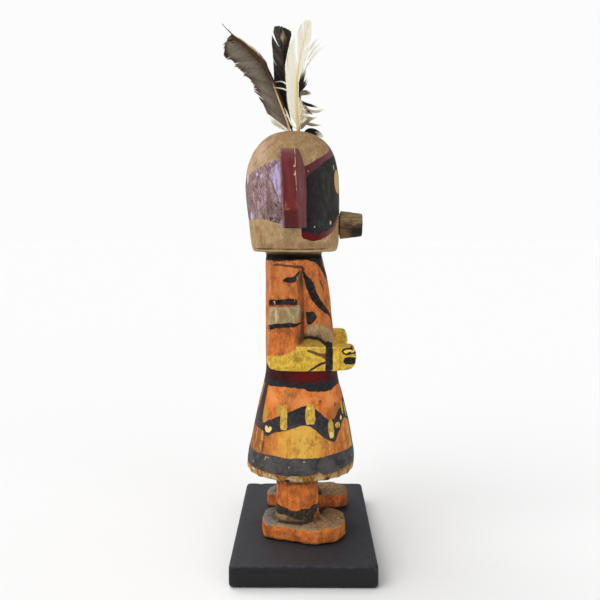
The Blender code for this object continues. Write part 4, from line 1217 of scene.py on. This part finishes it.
def ear_paint():
    finish = Finish("ear_paint", {"Specular IOR Level": 0.25, "Coat Roughness": 0.22})
    away = abs(finish.x - FIGURE_X)
    chart = Chart(finish, finish.z * EAR_LEAN - finish.y, finish.z, 0.16, 8.0)
    streak = cloud(finish, (1.2, 1.2, 9.0), 4.0, 12.0, 0.6)
    fine = cloud(finish, (0.7, 0.7, 1.6), 4.0, 14.0, 0.7)
    colour = tones(streak, (0.32, (84, 26, 28)), (0.5, (106, 36, 38)), (0.68, (124, 50, 52)))
    middle = chart.spots(((FRONT_EDGE - 3.0, 192.3, 3.0, 2.6),), 0.8)
    colour = coat(colour, (112, 12, 14), middle)
    low = chart.up.step(191.5, 189.5)
    colour = coat(colour, (78, 16, 18), low * 0.9)
    # Paler towards the rounded top and in a thin line along the back edge: painted highlights.
    colour = coat(colour, (128, 84, 84), chart.up.step(214, 221) * 0.55)
    back = chart.along.step(BACK_EDGE + 1.0, BACK_EDGE + 0.3) * away.step(33.4, 35)
    colour = coat(colour, (148, 108, 118), back * fine.step(0.38, 0.56) * 0.8)
    scratch = chart.spots(((FRONT_EDGE - 5.4, 190.4, 1.6, 0.6), (FRONT_EDGE - 5.8, 192.4, 0.6, 1.6)), 0.7)
    colour = coat(colour, (170, 96, 62), scratch * fine.step(0.4, 0.56) * 0.7)
    bevel = chart.along.step(FRONT_EDGE - 0.2, FRONT_EDGE + 0.8)
    colour = coat(colour, tones(streak, (0.35, (98, 50, 50)), (0.65, (126, 76, 74))), bevel * 0.9)
    chips = chart.spots(
        ((FRONT_EDGE, 216.2, 0.2, 0.5), (FRONT_EDGE - 0.5, 212.0, 0.6, 0.4),
         (FRONT_EDGE - 0.2, 212.6, 0.25, 0.8),
         (FRONT_EDGE - 0.4, 207.8, 0.45, 0.5), (FRONT_EDGE - 0.1, 208.6, 0.3, 1.2),
         (FRONT_EDGE, 205.0, 0.15, 3.0),
         (FRONT_EDGE, 200.5, 0.14, 1.0), (FRONT_EDGE, 220, 0.16, 2.6), (FRONT_EDGE, 214.5, 0.14, 1.6)), 0.5)
    rubbed = drawn_from_mesh(finish, "rubbed") * 0.9 + fine * 0.8
    wood = tones(fine, (0.4, (196, 160, 110)), (0.6, (226, 198, 150)))
    bare = chips.most(rubbed.step(1.10, 1.22) * away.step(30, 32))
    colour = coat(colour, wood, bare)
    # Darker in the hollows, with grime and painted shade.
    hollow_dirt_and_shade = drawn_from_mesh(finish, "hollow")
    colour = coat(colour, (40, 14, 14), hollow_dirt_and_shade.step(0.2, 1.0) * 0.4)
    # Near-black along the ear's lowest edge: painted shadow under the ear.
    colour = coat(colour, (22, 10, 10), chart.up.step(EAR_LOW + 1.0, EAR_LOW + 0.3) * 0.9)
    rough = 0.34 + fine * 0.16 - middle * 0.14 + bare * 0.3
    finish.join(middle * 0.5, finish.shader.inputs["Coat Weight"])
    return finish.done(colour, rough, streak * 0.14 + fine * 0.08 - bare * 0.10, 0.8)


def snout_paint():
    finish = Finish("snout_paint", {"Specular IOR Level": 0.2})
    grain = cloud(finish, (1.6, 7.0, 1.0), 4.0, 21.0, 0.65)
    blotch = cloud(finish, (4.0, 4.5, 2.6), 3.0, 23.0, 0.6)
    colour = tones(grain, (0.3, (92, 70, 44)), (0.5, (132, 106, 70)), (0.7, (164, 138, 98)))
    # The lower half of the round snout is darker, a little lighter again at its very bottom: painted shade.
    height = finish.z + finish.y * 0.05 + (blotch - 0.5) * 12
    colour = coat(colour, (62, 46, 28), height.step(SNOUT_MIDDLE + 0.6, SNOUT_MIDDLE - 1.2) * 0.88)
    colour = coat(colour, (112, 86, 50), height.step(SNOUT_MIDDLE - 3.4, SNOUT_MIDDLE - 5.6) * 0.7)
    tip = (-finish.y).step(SNOUT_TIP - 8.5, SNOUT_TIP - 5.5)
    tip = tip * finish.z.step(SNOUT_MIDDLE - 0.5, SNOUT_MIDDLE - 2.0)
    colour = coat(colour, (24, 20, 18), tip * 0.95)
    rim = (-finish.y).step(SNOUT_TIP - 1.0, SNOUT_TIP - 0.3)
    colour = coat(colour, (52, 40, 28), rim * 0.6)
    # Pale blotches on the upper half: painted highlights.
    colour = coat(colour, (196, 174, 132),
                  blotch.step(0.62, 0.7) * finish.z.step(SNOUT_MIDDLE, SNOUT_MIDDLE + 3))
    return finish.done(colour, 0.5 + grain * 0.2, grain * 0.3 + blotch * 0.1, 0.9)


base.data.materials.append(base_paint())
red_paint = ear_paint()
for ear in ears:
    ear.data.materials.append(red_paint)
snout.data.materials.append(snout_paint())
print("the ears' outer face is", round(FRONT_EDGE - BACK_EDGE, 1), "mm broad")

# %% [markdown]
# A feather is a shaft with a row of barbs on each side. Here each barb is a thin closed tube with
# four corners, wide enough to touch its neighbours, as the hooks on real barbs hold them together.
# The Strands class only gathers tubes. It keeps two values on each point for the paint: the
# barb's own tint and how pale it is.

# %% Thin closed tubes
class Strands:
    """Thin tubes gathered into one mesh."""

    def __init__(self):
        self.points, self.faces, self.kinds, self.tint, self.pale = [], [], [], [], []
        self.count = 0

    def tube(self, path, face, wide, thick, pale=0.5, tint=0.5, corners=4, kind=0):
        """One tube along a path, wide across the face direction and thick along it."""
        path = np.asarray(path, float)
        n = len(path)
        way = np.gradient(path, axis=0)
        way /= np.linalg.norm(way, axis=1)[:, None]
        broad = np.cross(face, way)
        broad /= np.linalg.norm(broad, axis=1)[:, None]
        flat = np.cross(way, broad)
        turn = 2 * np.pi * np.arange(corners) / corners
        wide = np.broadcast_to(wide, n)[:, None, None]
        thick = np.broadcast_to(thick, n)[:, None, None]
        ring = broad[:, None] * np.cos(turn)[:, None] * wide / 2
        ring = ring + flat[:, None] * np.sin(turn)[:, None] * thick / 2 + path[:, None]
        self.points.append(ring.reshape(-1, 3))
        here = self.count + np.arange(n - 1)[:, None] * corners + np.arange(corners)
        beside = self.count + np.arange(n - 1)[:, None] * corners + (np.arange(corners) + 1) % corners
        walls = np.stack([here, beside, beside + corners, here + corners], -1).reshape(-1, 4).tolist()
        first = list(range(self.count, self.count + corners))
        last = [i + (n - 1) * corners for i in first]
        self.faces += walls + [first[::-1], last]
        self.kinds += [kind] * (len(walls) + 2)
        self.tint.append(np.full(n * corners, tint))
        self.pale.append(np.repeat(np.broadcast_to(pale, n), corners))
        self.count += n * corners

    def piece(self, name, *materials):
        """Turns the tubes into an object."""
        mesh = bpy.data.meshes.new(name)
        mesh.from_pydata((np.concatenate(self.points) * MM).tolist(), [], self.faces)
        for material in materials:
            mesh.materials.append(material)
        mesh.polygons.foreach_set("material_index", self.kinds)
        add_value(mesh, "tint", np.concatenate(self.tint))
        add_value(mesh, "pale", np.concatenate(self.pale))
        mesh.shade_smooth()
        made = bpy.data.objects.new(name, mesh)
        scene.collection.objects.link(made)
        mesh.calc_loop_triangles()
        print(name, "has", len(mesh.loop_triangles), "triangles")
        return made


def flowing(points, count):
    """A smooth line near a few points, with this many points at even steps."""
    line = np.array(points, float)
    for _ in range(3):
        cut = np.empty((2 * len(line) - 2, line.shape[1]))
        cut[0::2] = line[:-1] * 0.75 + line[1:] * 0.25
        cut[1::2] = line[:-1] * 0.25 + line[1:] * 0.75
        line = np.vstack([line[:1], cut, line[-1:]])
    far = np.r_[0.0, np.cumsum(np.linalg.norm(np.diff(line, axis=0), axis=1))]
    even = np.linspace(0, far[-1], count)
    return np.stack([np.interp(even, far, line[:, i]) for i in range(line.shape[1])], 1)


# %% [markdown]
# The shaft bends gently, so a place on the vane is given as a distance along the shaft and a
# distance out to one side. The plain solid in the frame already has the feather's outline. The
# outline is measured from it: many points on its faces are turned into such pairs, and the
# farthest one at each step gives the vane's reach.

# %% The shaft and the outline of the vane
BURIED = 5.0
OUTLINE_STEP = 0.8
CUTS = 14


class Shaft:
    """The middle line of a feather, with its sideways and face directions."""

    def __init__(self, node, root, long, bends, lean, turn, quill, widen=(1.0, 1.0)):
        self.node, self.turn, self.quill = node, turn, quill
        self.widen = {-1: widen[0], 1: widen[1]}
        path = np.array([np.array(root) + long * np.array((lean * z, y, z)) for y, z in bends])
        below = path[0] - path[1]
        path = np.vstack([path[0] + below * BURIED / np.linalg.norm(below), path])
        self.line = flowing(path, 160)
        self.far = np.r_[0.0, np.cumsum(np.linalg.norm(np.diff(self.line, axis=0), axis=1))] - BURIED
        self.long = self.far[-1]
        self.way = np.gradient(self.line, axis=0)
        self.measure()

    def at(self, far):
        """The middle, the way along, the side and the face at each distance from the skin."""
        far = np.asarray(far, float)
        inside = np.clip(far, self.far[0], self.far[-1])
        middle = np.stack([np.interp(inside, self.far, self.line[:, i]) for i in range(3)], -1)
        way = np.stack([np.interp(inside, self.far, self.way[:, i]) for i in range(3)], -1)
        way /= np.linalg.norm(way, axis=-1)[..., None]
        middle = middle + way * (far - inside)[..., None]
        flat = np.cross((1.0, 0.0, 0.0), way)
        flat /= np.linalg.norm(flat, axis=-1)[..., None]
        normal = np.cross(flat, way)
        share = np.clip(far / self.long, 0, 1)
        angle = np.radians(self.turn[0] + (self.turn[1] - self.turn[0]) * share)[..., None]
        side = np.cos(angle) * flat + np.sin(angle) * normal
        return middle, way, side, np.cross(side, way)

    def measure(self):
        """Reads the reach to either side from the plain solid."""
        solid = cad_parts[self.node].data
        solid.calc_loop_triangles()
        corners = read_points(solid) / MM
        threes = np.empty(len(solid.loop_triangles) * 3, np.int32)
        solid.loop_triangles.foreach_get("vertices", threes)
        a, b, c = corners[threes.reshape(-1, 3)].transpose(1, 0, 2)
        found = [a * i / CUTS + b * j / CUTS + c * (CUTS - i - j) / CUTS
                 for i in range(CUTS + 1) for j in range(CUTS + 1 - i)]
        found = np.concatenate(found)
        nearest = np.concatenate([
            ((part[:, None] - self.line) ** 2).sum(2).argmin(1) for part in np.array_split(found, 40)])
        far = self.far[nearest]
        middle, way, side, _ = self.at(far)
        far = far + ((found - middle) * way).sum(1)
        out = ((found - middle) * side).sum(1)
        self.steps = np.arange(0.5, far.max() + 0.5, OUTLINE_STEP)
        slot = np.digitize(far, self.steps)
        self.reaches = {}
        for sign in (-1, 1):
            widest = np.zeros(len(self.steps) + 1)
            np.maximum.at(widest, slot, sign * out)
            self.reaches[sign] = widest[:-1]

    def reach(self, far, sign):
        return self.widen[sign] * np.interp(far, self.steps - OUTLINE_STEP / 2, self.reaches[sign], 0, 0)

    def grow(self, strands, thin=0.8, tip=0.3, pale=0.9, end=1.0):
        """The shaft itself, round at the skin and fine at the tip."""
        far = np.linspace(-BURIED, self.long * end, 60)
        middle, _, _, face = self.at(far)
        round_ = 2 * thin * self.quill * (1 - (1 - tip) * np.clip(far / self.long, 0, 1))
        strands.tube(middle, face, round_, round_ * 0.9, pale, 0.5, 10, 1)


# %% [markdown]
# Barbs come in small clumps, because the hooks let go here and there and old feathers fray. Each
# clump shares a length, a tint and a little swing of its own. A split is a place where the barbs
# above bend up and those below bend down. Where a barb ends follows from the outline: its length
# is the first one, of many that are tried, at which the barb would leave the outline.

# %% Grow a vane, and grow loose locks
LONGEST_BARB = 20
HIGHEST_LOCK = 290


def grow_vane(strands, shaft, sign, start, end, gap, slopes, look, droop=0.02, wide=0.27, thick=0.1,
              splits=(), ragged=0.07, swing=0.10, seed=1, points=8, least=0.5, blunt=0.25):
    rng = np.random.default_rng(seed)
    root, clump_left = start * shaft.long, 0
    cut, lean, tint, number = 1.0, 0.0, 0.5, 0
    while root < end * shaft.long:
        if clump_left <= 0:
            clump_left = rng.integers(4, 15)
            cut, lean, tint = 1 - ragged * rng.random() ** 1.6, swing * rng.normal() * 0.5, rng.random()
        clump_left -= 1
        slope = np.interp(root / shaft.long, [s[0] for s in slopes], [s[1] for s in slopes]) * (1 + lean)
        tries = np.linspace(0, LONGEST_BARB, 160)
        outside = tries > shaft.reach(root + slope * tries - droop * tries ** 2, sign)
        length = tries[max(outside[1:].argmax(), 0)] * cut * (1 - 0.03 * rng.random())
        if length > least:
            out = length * np.linspace(0, 1, points) ** 0.9
            q = out / length
            far = root + slope * out - droop * out ** 2
            for at, opening, spread_over, depth in splits:
                away = root - at * shaft.long
                parted = (opening if away > 0 else -0.25 * opening) * np.exp(-abs(away) / spread_over)
                parted = parted * q ** depth
                far = far + parted / math.hypot(1, slope)
                out = np.clip(out - parted * slope / math.hypot(1, slope), 0, None)
            middle, _, side, face = shaft.at(far)
            bow = 0.09 * length * q ** 2 + 0.05 * (number % 3) + 0.12 * (tint - 0.5) * q
            path = middle + side * (sign * out)[:, None] - face * bow[:, None]
            taper = np.interp(q, (0, 0.75, 1), (1.0, 0.9, blunt))
            pale = look(root / shaft.long, q, out, far / shaft.long, rng)
            strands.tube(path, face, wide * taper, thick * taper, pale, 0.7 * tint + 0.3 * rng.random())
            number += 1
        root += gap * rng.uniform(0.85, 1.15)
    return number


def grow_lock(strands, plane, route, broad, count, pale, wide=0.24, thick=0.12, fan=0.0, seed=1,
              points=12, loose=0.12):
    """A loose lock along a route of y and height above the head, in a plane x."""
    rng = np.random.default_rng(seed)
    middle = flowing([(plane, y, HEAD_TOP + z) for y, z in route], points)
    middle[:, 2] = np.clip(middle[:, 2], 0, HIGHEST_LOCK)
    way = np.gradient(middle, axis=0)
    way /= np.linalg.norm(way, axis=1)[:, None]
    across = np.cross(way, (1.0, 0.0, 0.0))
    t = np.linspace(0, 1, points)
    lens = (1 - fan) * np.sin(np.pi * np.clip(t * 0.9 + 0.06, 0, 1)) ** 0.7 + fan * t
    for k in range(count):
        u = (2 * (k + rng.random()) / count - 1)
        stop = rng.uniform(0.72, 1.0) if count > 2 else 1.0
        path = middle + across * (u * broad / 2 * lens)[:, None]
        path = path + np.array([1.0, 0, 0]) * (rng.normal() * 0.25 * t)[:, None]
        wave = loose * rng.normal(size=2)
        path = path + across * (wave[0] * np.sin(3 * t * np.pi + wave[1] * 20) * t)[:, None]
        if stop < 1:
            place = np.linspace(0, stop, points)
            path = np.stack([np.interp(place, t, path[:, i]) for i in range(3)], 1)
        taper = np.interp(t, (0, 0.7, 1), (0.8, 1.0, 0.2))
        shade = pale(t) if callable(pale) else pale
        strands.tube(path, (1.0, 0.0, 0.0), wide * taper, thick * taper, shade, rng.random())


def feather_paint(name, *stops, speckle=0.0, streak=0.18):
    """Paint for barbs: pale picks the colour, and each barb's own tint shifts it a little."""
    finish = Finish(name, {"Specular IOR Level": 0.12, "Sheen Weight": 0.05})
    grain = cloud(finish, (3.0, 1.2, 1.2), 4.0, 5.0, 0.65)
    pale = drawn_from_mesh(finish, "pale") + (drawn_from_mesh(finish, "tint") - 0.5) * streak
    pale = pale + (grain - 0.5) * 0.35
    colour = tones(pale, *stops)
    if speckle:
        specks = cloud(finish, 0.9, 3.0, 9.0, 0.6).step(0.56, 0.62)
        shady = drawn_from_mesh(finish, "pale").step(0.86, 0.7)
        colour = coat(colour, (120, 104, 84), specks * shady * speckle)
    return finish.done(colour, grain * 0.2 + 0.5)


def shaft_paint(name, low, high, middle_z):
    """A shaft that is horn-coloured below and another colour above."""
    finish = Finish(name, {"Specular IOR Level": 0.45})
    grain = cloud(finish, (0.8, 0.8, 5.0), 3.0, 4.0)
    share = (finish.z - middle_z + (grain - 0.5) * 6).step(-5, 5)
    colour = coats(low, (high, share), ((120, 96, 60), grain.step(0.5, 0.8) * 0.3))
    return finish.done(colour, 0.42)


# %% [markdown]
# The brown feather is a small body feather with a wide trailing vane at the back and a narrow
# dark leading vane edged with cream. Its barbs droop outwards. The lobes and the dark hooks on
# its ragged edge, and the pale down at its foot, are loose locks along their own short routes.

# %% Brown feather
def brown_left(share, q, out, far, rng):
    streak = 0.05 * math.sin(share * 47) + 0.03 * math.sin(share * 131)
    edge = 0.20 * np.clip((q - 0.8) / 0.2, 0, 1)
    middle = 0.10 * np.exp(-((q - 0.55) / 0.22) ** 2)
    dark = np.exp(-(out / 2.1) ** 4) * np.clip((share - 0.28) / 0.2, 0, 1)
    hook = np.exp(-((share - 0.79) / 0.08) ** 2) + np.exp(-((share - 0.19) / 0.06) ** 2)
    hook = hook * np.clip((q - 0.74) / 0.15, 0, 1)
    return (0.43 + streak * (0.4 + q) + middle - edge) * (1 - 0.75 * dark) * (1 - 0.85 * hook)


def brown_right(share, q, out, far, rng):
    cream = np.clip((q - 0.5) / 0.12, 0, 1) * np.clip((share - 0.5) / 0.1, 0, 1)
    return 0.10 + 0.82 * cream + 0.05 * rng.random()


def make_brown_feather():
    shaft = Shaft(
        "brown_feather", (1.0, 8.1, 233.6), 57.9,
        ((0, 0), (0.009, 0.055), (0.054, 0.178), (0.1, 0.294), (0.14, 0.402), (0.162, 0.463),
         (0.202, 0.539), (0.24, 0.617), (0.358, 0.746), (0.442, 0.822), (0.528, 0.883),
         (0.636, 1.0)), 0.03, (-14, -24), 0.95, (1.05, 2.4))
    strands = Strands()
    shaft.grow(strands, 0.62, 0.3, 0.9)
    slopes = ((0.0, 1.5), (0.10, 1.5), (0.3, 1.0), (0.5, 0.75), (0.68, 0.5), (0.8, 0.2), (0.89, 0.0))
    splits = ((0.13, 0.7, 1.0, 6.0), (0.18, 0.8, 0.9, 7.0), (0.23, 0.6, 0.8, 6.0), (0.30, 0.3, 0.9, 4.0),
              (0.46, 0.4, 1.0, 5.0), (0.60, 0.6, 1.0, 4.0),
              (0.72, 0.5, 0.8, 4.0))
    count = grow_vane(strands, shaft, -1, 0.0, 0.89, 0.14, slopes, brown_left, 0.0, 0.30, 0.10, splits,
                      0.05, 0.02, 21, blunt=0.6)
    count += grow_vane(strands, shaft, 1, 0.03, 0.92, 0.18, ((0, 1.4), (1, 2.2)), brown_right, 0.0, 0.24,
                       0.10,
                       (), 0.06, 0.04, 22, 5, 0.3, 0.8)
    print("brown feather:", count, "barbs")
    for number, (route, broad, shade) in enumerate((
            (((38.5, 48.6), (40, 48.9), (41.9, 47.2), (44.1, 46.3), (44.9, 45.4)), 1.3, 0.08),
            (((38.5, 47.2), (41.4, 47.2), (43.3, 45), (44.2, 44.1), (44.6, 44.8)), 1.1, 0.08),
            (((36.8, 43.4), (40.5, 44.1), (42.4, 42.8), (43.3, 41.9), (44.2, 42.3)), 1.2, 0.10),
            (((31.8, 34.8), (33.8, 35.3), (36.1, 35.3), (37.9, 34.6), (38.6, 34.0)), 1.6, 0.36),
            (((27.8, 31.2), (29.3, 31.3), (31.6, 30.2), (33.2, 29.5), (33.6, 30.2)), 1.5, 0.34),
            (((15.6, 11.8), (17.6, 12.6), (19.4, 13.7), (20.8, 13.1), (21.7, 12.6)), 1.3, 0.18),
            (((17.6, 14.8), (20.4, 16.4), (22.2, 16.2), (22.8, 15.0), (22.2, 14.2)), 0.6, 0.10),
            (((16.6, 10.4), (19.0, 11.4), (20.6, 10.6), (20.2, 9.4)), 0.6, 0.10))):
        grow_lock(strands, 1.2, route, broad, int(4 + broad * 6), shade, seed=30 + number)
    for number, route in enumerate((
            ((9.2, -0.4), (11.2, 0.8), (14.9, 3.2), (17.1, 4.6), (18.5, 6.4)),
            ((9.2, -0.2), (12.4, 1.8), (16.2, 4.1), (17.6, 6.8), (19.2, 8.6)),
            ((8.9, 0.2), (10.6, 2.6), (13.0, 5.0), (15.6, 6.2), (16.6, 8.2)))):
        grow_lock(strands, 0.8, route, 3.0, 26, 1.15, 0.12, 0.10, 0.8, 40 + number, loose=0.5)
    vane = feather_paint("brown_vane", (0.0, (44, 26, 14)), (0.14, (82, 50, 28)), (0.34, (106, 92, 76)),
                         (0.48, (122, 110, 97)), (0.64, (150, 138, 122)), (0.84, (216, 182, 136)),
                         (0.96, (232, 216, 180)), (1.0, (238, 230, 204)), streak=0.10)
    quill = shaft_paint("brown_shaft", (226, 192, 140), (70, 44, 26), 256)
    piece = strands.piece("brown_feather_barbs", vane, quill)
    dress(piece, "brown_feather_vane", "brown_feather")


make_brown_feather()

# %% [markdown]
# The black feather stands behind the others. Its two blades stay tightly hooked, so they are
# almost smooth, with one gap near the slanted top. A cream spot lies on the right blade.

# %% Black feather
def black_left(share, q, out, far, rng):
    return 0.12 + 0.30 * np.clip((far - 0.5) / 0.2, 0, 1) + 0.05 * math.sin(share * 60)


def black_right(share, q, out, far, rng):
    spot = np.exp(-((far - 0.90) / 0.05) ** 2 - ((out - 1.6) / 1.5) ** 2)
    mottle = 0.14 * np.clip((far - 0.7) / 0.15, 0, 1) * np.sin(far * 70 + out * 2.5)
    return 0.06 + 0.16 * np.clip((far - 0.6) / 0.2, 0, 1) + mottle + 0.75 * spot


def make_black_feather():
    shaft = Shaft(
        "black_feather", (6.0, 6.5, 233.4), 58.0,
        ((0, 0), (0.021, 0.083), (0.05, 0.233), (0.067, 0.397), (0.079, 0.555), (0.09, 0.672),
         (0.11, 0.788), (0.121, 0.866), (0.116, 1.0)), 0.05, (12, 22), 0.8)
    strands = Strands()
    shaft.grow(strands, 0.62, 0.3, 0.1, 0.97)
    slopes = ((0.0, 1.2), (0.3, 2.0), (0.8, 1.7), (1.0, 2.0))
    count = grow_vane(strands, shaft, -1, 0.03, 0.99, 0.16, slopes, black_left, 0.0, 0.28, 0.09,
                      ((0.79, 1.1, 2.4, 1.0), (0.52, 0.3, 1.4, 2.0)), 0.015, 0.02, 51, blunt=0.8, least=0.2)
    count += grow_vane(strands, shaft, 1, 0.03, 0.99, 0.16, slopes, black_right, 0.0, 0.28, 0.09,
                       ((0.6, 0.3, 1.0, 2.0),), 0.015, 0.02, 52, blunt=0.8, least=0.2)
    print("black feather:", count, "barbs")
    vane = feather_paint("black_vane", (0.0, (8, 6, 5)), (0.12, (20, 14, 10)), (0.26, (46, 36, 28)),
                         (0.42, (66, 60, 56)), (0.62, (110, 96, 76)), (1.0, (206, 176, 128)))
    quill = shaft_paint("black_shaft", (30, 22, 18), (48, 40, 34), 262)
    piece = strands.piece("black_feather_barbs", vane, quill)
    dress(piece, "black_feather_vane", "black_feather")


make_black_feather()

# %% [markdown]
# The white feather is worn. Its barbs run steeply along the shaft, a long lobe has come away on
# its left with a dark split beside it, and two of its barbs have fallen across the black feather.
# Its lower right vane is speckled grey and beige.

# %% White feather
def white_left(share, q, out, far, rng):
    return 0.90 - 0.12 * np.clip((q - 0.85) / 0.15, 0, 1) + 0.06 * math.sin(share * 80)


def white_right(share, q, out, far, rng):
    low = np.clip((0.42 - far) / 0.1, 0, 1) * np.clip((out - 0.8) / 1.0, 0, 1)
    return 0.92 - 0.30 * low + 0.05 * rng.random()


def make_white_feather():
    shaft = Shaft(
        "white_feather", (-1.5, 3.4, 233.6), 58.0,
        ((0, 0), (0.009, 0.138), (0.012, 0.379), (0.007, 0.493), (-0.009, 0.607), (-0.031, 0.721),
         (-0.062, 0.833), (-0.093, 0.941), (-0.109, 1.0)), -0.05, (-10, 16), 1.15)
    strands = Strands()
    shaft.grow(strands, 0.62, 0.3, 0.8)
    left = ((0.0, 1.6), (0.12, 2.6), (0.5, 3.2), (0.8, 2.6), (1.0, 1.6))
    right = ((0.0, 0.6), (0.10, 1.2), (0.3, 2.2), (0.6, 2.8), (1.0, 1.8))
    count = grow_vane(strands, shaft, -1, 0.03, 0.98, 0.3, left, white_left, 0.0, 0.28, 0.10,
                      ((0.54, 2.0, 2.6, 1.0), (0.80, 0.5, 2.0, 1.0)), 0.05, 0.04, 61, 12)
    count += grow_vane(strands, shaft, 1, 0.03, 0.98, 0.30, right, white_right, 0.0, 0.28, 0.10,
                       ((0.10, 0.5, 1.2, 2.0), (0.22, 0.5, 1.2, 2.0), (0.66, 0.8, 2.0, 1.0)), 0.12, 0.10,
                       62, 12)
    print("white feather:", count, "barbs")
    for number, (route, broad) in enumerate((
            (((4.6, 14.5), (6.4, 20.0), (8.6, 23.3), (10.2, 25.3), (12.4, 26.2), (15.1, 25.9), (17, 25.3)),
             0.5),
            (((4.4, 13.0), (6.9, 18.6), (9.7, 21.5), (11.5, 22.2), (14.3, 22.6), (17, 23), (17.6, 23.2)),
             0.4),
            (((4.0, 0.6), (6.6, 2.4), (8.4, 6.9), (10.2, 8.7), (12, 9.6)), 0.5),
            (((4.0, 0.8), (7, 2.4), (8.8, 7.8), (10.2, 11.3), (11.1, 12.2)), 0.5))):
        grow_lock(strands, -1.9, route, broad * 1.5, 7, 0.97, 0.24, 0.12, 0.0, 70 + number, loose=0.03)
    for number, route in enumerate((
            ((-1.2, 33.5), (-4.4, 39.0), (-8.0, 43.0), (-12.0, 45.6)),
            ((-1.8, 37.5), (-4.8, 42.6), (-8.8, 46.4), (-11.4, 47.4)),
            ((-2.4, 42.0), (-5.6, 47.0), (-8.4, 49.6)))):
        grow_lock(strands, -1.2, route, 1.8, 12, 0.97, 0.18, 0.10, 0.5, 76 + number, loose=0.3)
    vane = feather_paint("white_vane", (0.0, (96, 82, 62)), (0.4, (196, 184, 154)), (0.62, (240, 230, 198)),
                         (0.82, (252, 246, 218)), (1.0, (255, 253, 242)), speckle=0.7, streak=0.10)
    quill = shaft_paint("white_shaft", (226, 202, 132), (236, 220, 176), 266)
    piece = strands.piece("white_feather_barbs", vane, quill)
    dress(piece, "white_feather_vane", "white_feather")


make_white_feather()

# %% [markdown]
# Of the short barred feather only separate clumps of barbs are left, light and dark in turn, so
# the whole feather is made of loose locks that leave its shaft on the right. Some loose hairs
# fill the space low down. The short dark feather is a single black wisp with a white tip that
# lies on the dome.

# %% Barred and short dark feathers
BARRED_LOCKS = (
    (((3.1, 20.0), (2.9, 24.1), (2.1, 27.7), (0.7, 32.2), (-1.1, 36.2)), 3.4, (0.13, 0.95)),
    (((3.1, 19.0), (2.9, 23.2), (0.7, 25.4), (-1.1, 27.2), (-1.6, 29.5)), 2.8, (0.12, 0.2)),
    (((3.2, 19.6), (3, 20.9), (0.3, 21.8), (-2.5, 21.6), (-4.1, 20.9)), 2.8, (0.5, 0.58)),
    (((3.0, 17.2), (2.6, 17.7), (-0.2, 15.5), (-3.5, 14.8), (-7.9, 13.5)), 1.6, (0.06, 0.10)),
    (((2.6, 15.4), (2.1, 15.9), (-1.6, 12.7), (-3.9, 10.2), (-4.9, 9.6)), 1.4, (0.14, 0.22)),
    (((2.4, 13.8), (1.6, 14.6), (-3.5, 11.4), (-7.6, 11.1), (-11.6, 12.7)), 1.5, (0.86, 0.94)),
    (((2.0, 6.2), (0.7, 9.1), (-2.5, 7.7), (-4.9, 7.3), (-7.4, 8.4)), 1.6, (0.6, 0.9)),
    (((1.8, 1.8), (0.7, 3.2), (-1.1, 5.9), (-3.5, 7.3), (-5.8, 7.7)), 2.0, (0.55, 0.9)),
    (((2.0, 3.0), (1.2, 5.5), (-2.1, 4.6), (-5.8, 3.9), (-10, 3.9)), 1.6, (0.65, 0.95)),
    (((2.0, 8.0), (1.0, 11.6), (-1.8, 10.8), (-4.4, 9.8)), 1.6, (0.45, 0.8)),
)


def make_barred_feather():
    shaft = Shaft(
        "barred_feather", (7.6, 2.6, 233.2), 38.8,
        ((0, 0), (-0.008, 0.222), (-0.013, 0.49), (-0.036, 0.735), (-0.067, 0.874),
         (-0.119, 1.0)), 0.06, (10, 20), 0.7)
    strands = Strands()
    shaft.grow(strands, 0.6, 0.3, 0.8)
    for number, (route, broad, (low, high)) in enumerate(BARRED_LOCKS):
        shades = (lambda t, low=low, high=high: low + (high - low) * np.clip((t - 0.66) / 0.3, 0, 1))
        grow_lock(strands, 7.9, route, broad, int(10 + broad * 9), shades, 0.22, 0.11, 0.0, 80 + number)
    for number, (low, high) in enumerate(((0.1, 0.35), (0.3, 0.6), (0.5, 0.8), (0.62, 0.96))):
        grow_vane(strands, shaft, -1, low, high, 0.4, ((0, 2.2), (1, 2.6)), lambda *_: 0.4, 0.0, 0.24, 0.1,
                  (), 0.2, 0.1, 90 + number, 6)
    vane = feather_paint("barred_vane", (0.0, (24, 20, 18)), (0.2, (52, 42, 36)), (0.4, (112, 100, 84)),
                         (0.6, (158, 148, 126)), (0.82, (214, 202, 168)), (1.0, (240, 232, 206)))
    quill = shaft_paint("barred_shaft", (196, 176, 130), (120, 100, 72), 256)
    piece = strands.piece("barred_feather_locks", vane, quill)
    dress(piece, "barred_feather_vane", "barred_feather")


def make_short_dark_feather():
    strands = Strands()
    wisp = ((0.4, -1.8), (-0.4, -1.0), (-2.6, 0.7), (-5.6, 0.1), (-7.9, -1.2), (-11.0, -3.2))
    shades = (lambda t: np.where(t < 0.66, 0.05, 0.05 + 0.95 * np.clip((t - 0.66) / 0.16, 0, 1)))
    grow_lock(strands, 4.4, wisp, 3.0, 46, shades, 0.26, 0.12, 0.0, 95, loose=0.06)
    grow_lock(strands, 4.9, wisp, 2.4, 20, shades, 0.26, 0.12, 0.0, 96, loose=0.06)
    vane = feather_paint("dark_vane", (0.0, (26, 20, 18)), (0.3, (54, 44, 38)), (0.7, (190, 180, 158)),
                         (1.0, (236, 230, 212)))
    piece = strands.piece("short_dark_feather_locks", vane, vane)
    dress(piece, "short_dark_feather_vane", "short_dark_feather")


make_barred_feather()
make_short_dark_feather()
